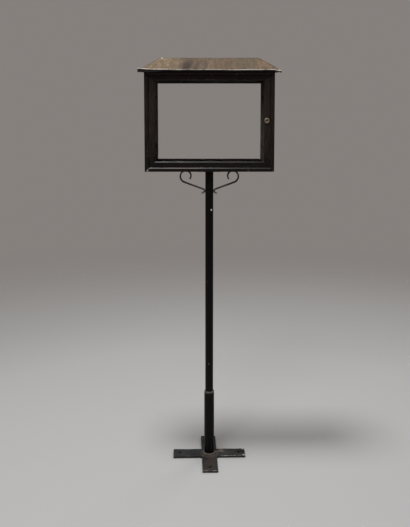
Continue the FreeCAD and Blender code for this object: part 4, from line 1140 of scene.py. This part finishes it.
def nutAt(origin, axis, bore, flats, height):
    # hexagon cut back by a cone at both ends
    corner, cone = flats / math.sqrt(3), flats * 0.475
    loop = np.array([(bore, 0.3), (bore + 0.3, 0.0), (cone, 0.0), (corner, 0.18 * height),
                     (corner, 0.82 * height), (cone, height), (bore + 0.3, height), (bore, height - 0.3)])

    def squeeze(angle, heights):
        hexagon = flats / 2 / np.cos((angle + math.pi / 6) % (math.pi / 3) - math.pi / 6)
        return np.minimum(hexagon, loop[:, :1]) / loop[:, :1]

    return revolve(loop, origin, axis, 72, True, 0.4, squeeze)


def washerAt(origin, axis, bore, outer, thick):
    # soft-cornered oblong carried round the axis
    section, _, worn = softOutline([(bore, 0), (outer, 0), (outer, thick), (bore, thick)], 0.25, 0.3, 3)
    return revolve(section, origin, axis, 48, True, 0.4 * worn)


def putFitting(node, shells, material=metals["steel"]):
    # a small piece, its points that lie on each other merged
    joinSeam(putPiece(node, shells, material, 32))


def putRings(node, kind, sizes, spots, axis):
    # washers or nuts at some spots, as thick along the axis as their CAD node
    low, high = np.array(boxMm(node)) @ axis
    putFitting(node, [kind(spot + low * axis, axis, *sizes, high - low) for spot in spots])


def putClips(prefix, inward, facing):
    # two bent strips along each edge of a pane, each an outline carried along the edge, with its screw
    look, thick, wide = fittingSet, fittingSet["clipThick"], fittingSet["clipWidth"]
    low, high = boxMm(prefix + "_glass")
    half, middle = (high - low) / 2, (high + low) / 2
    middle[1] = (low, high)[facing][1]
    profile = [(0.5, 0), (11.5, 0), (11.5, thick), (2, thick), (2, 4.5), (-4, 4.5), (-4, 3), (0.5, 3)]
    depth = abs(middle[1] - boxMm(prefix + "_clip_screws")[facing][1]) + thick
    clips, screws = [], []
    for outAxis, along, spread in zip((rightWay, upWay), (upWay, rightWay), look["clipRows"]):
        for outward in (-outAxis, outAxis):
            for step in (-spread, spread):
                edge = middle + outward * half + along * step
                ways = [outward, inward, along]
                clips.append(extrude(profile, edge - along * wide / 2, ways, wide, look["clipSoft"]))
                seat = edge + outward * look["clipReach"] + inward * thick
                screws += screwAt(seat, -inward, look["clipScrew"], depth, len(screws))
    putFitting(prefix + "_glass_clips", clips, metals["blued_steel"])
    putFitting(prefix + "_clip_screws", screws)


def putRoofCleats(look):
    # bent strips: one leg down inside the top bar, one up under the roof's slope
    _, foldY, foldZ = roofSet["fold"]
    slope, seatZ, thick = roofSet["rise"] / foldY, foldZ - roofSet["thickness"], look["cleatThick"]
    lean = thick * math.hypot(1, slope)
    cleats, screws = [], []
    for end, wall, screwEnd in zip((-1, 1), look["cleatWalls"], boxMm("roof_screws")):
        outer = foldY - wall
        inner, tip = outer + thick, outer + look["cleatReach"]
        outerZ, innerZ, tipZ = (seatZ + slope * place for place in (outer, inner, tip))
        low = outerZ - look["cleatTall"]
        profile = [(outer, low), (outer, outerZ), (tip, tipZ), (tip, tipZ - lean),
                   (inner, innerZ - lean), (inner, low)]
        ways, wide = [-end * backWay, upWay, rightWay], look["cleatWidth"]
        depth = abs(screwEnd[1]) - wall + thick
        for x in (-look["cleatAt"], look["cleatAt"]):
            cleats.append(extrude(profile, (x - wide / 2, end * foldY, 0), ways, wide, look["soft"]))
            seat = (x, end * (wall - thick), (low + caseOuter[2]) / 2)
            screws += screwAt(seat, end * backWay, look["roofScrew"], depth, len(screws))
    putFitting("roof_cleats", cleats, paints["inner"])
    putFitting("roof_screws", screws)


def putHeadFixings(look):
    # a screw, washer and nut at each corner of the head plate; rivets: a round-headed profile turned
    low, high = boxMm("head_screws")
    spots = [np.array([x * look["headAt"][0], y * look["headAt"][1], 0]) for x in (-1, 1) for y in (-1, 1)]
    depth, sunkBy, screws = high[2] - low[2], look["headSunk"], []
    for number, spot in enumerate(spots):
        screws += screwAt(spot + low * upWay, upWay, look["headScrew"], depth, number, sunkBy)
    putFitting("head_screws", screws)
    putRings("head_washers", washerAt, look["headWasher"], spots, upWay)
    putRings("head_nuts", nutAt, look["headNut"], spots, upWay)
    low, high = boxMm("scroll_rivets")
    (wide, tall), shank = look["rivetHead"], look["rivetShank"]
    turn = np.linspace(0.01, quarter, 8)
    under, over = low[2] + tall, high[2] - tall
    loop = np.concatenate([np.column_stack([wide * np.sin(turn), under - tall * np.cos(turn)]),
                           [(shank, under), (shank, over)],
                           np.column_stack([wide * np.sin(turn), over + tall * np.cos(turn)])[::-1]])
    rivets = [revolve(loop, (x * look["rivetAt"], 0, 0), upWay, 40, False, 0.3) for x in (-1, 1)]
    putFitting("scroll_rivets", rivets, paints["case"])


def putLatchParts(look):
    soft, bent, tall, flat = look["soft"], look["bent"], look["stopHeight"], np.eye(3)
    # keeper: an angle on the case's side; stops: angles that the shut door meets; cam: a round-ended bar
    low, high = boxMm("latch_keeper")
    (x0, y0, z0), (x1, y1, z1) = low, high
    corners = [(x1 - bent, y0), (x1, y0), (x1, y1), (x0, y1), (x0, y1 - bent), (x1 - bent, y1 - bent)]
    putFitting("latch_keeper", [extrude(corners, low * upWay, flat, z1 - z0, soft)], paints["inner"])
    low, high = boxMm("keeper_screws")
    middle = (low + high) / 2
    screws = []
    for number, z in enumerate(look["keeperScrews"]):
        seat = (x1 - bent, middle[1], middle[2] + z)
        screws += screwAt(seat, rightWay, look["keeperScrew"], high[0] - x1 + bent, number)
    putFitting("keeper_screws", screws)
    (x0, y0, z0), (x1, y1, z1) = boxMm("door_stops")
    corners = [(x0, y0), (x1, y0), (x1, y1), (x1 - bent, y1), (x1 - bent, y0 + bent), (x0, y0 + bent)]
    stops = [extrude(corners, (0, 0, z), flat, tall, soft) for z in (z0, z1 - tall)]
    putFitting("door_stops", stops, paints["inner"])
    low, high = boxMm("latch_spindle")
    centre, reach, thick = (low + high) / 2 * [1, 0, 1], high[1] - low[1], look["spindle"]
    rod = [(0.05, 0.0), (thick - 0.5, 0.0), (thick, 0.5), (thick, reach - 0.6), (thick - 0.6, reach),
           (0.05, reach)]
    putFitting("latch_spindle", [revolve(rod, centre + low * backWay, backWay, 32)])
    putRings("latch_bush", washerAt, look["bush"], [centre], backWay)
    putRings("latch_washer", washerAt, look["washer"], [centre], backWay)
    putRings("latch_nut", nutAt, look["nut"], [centre], backWay)
    (x0, y0, z0), (x1, y1, z1) = boxMm("latch_cam")
    corners, ways = [(x0, z0), (x1, z0), (x1, z1), (x0, z1)], [rightWay, upWay, backWay]
    putFitting("latch_cam", [extrude(corners, (0, y0, 0), ways, y1 - y0, soft, look["camRound"])])


putClips("door", backWay, 0)
putClips("back", -backWay, 1)
putRoofCleats(fittingSet)
putHeadFixings(fittingSet)
putLatchParts(fittingSet)
print("fittings: clips, screws, nuts, washers, rivets, cleats, stops and latch")


# CAD pieces that keep their shape take a finish by their slot

keptNodes = {name: node for name, node in frame["nodes"].items() if not node.hide_render}
for name, node in keptNodes.items():
    for holder in node.material_slots:
        holder.material = slotFinish[slotOf[name]]
print("kept shapes:", len(keptNodes))
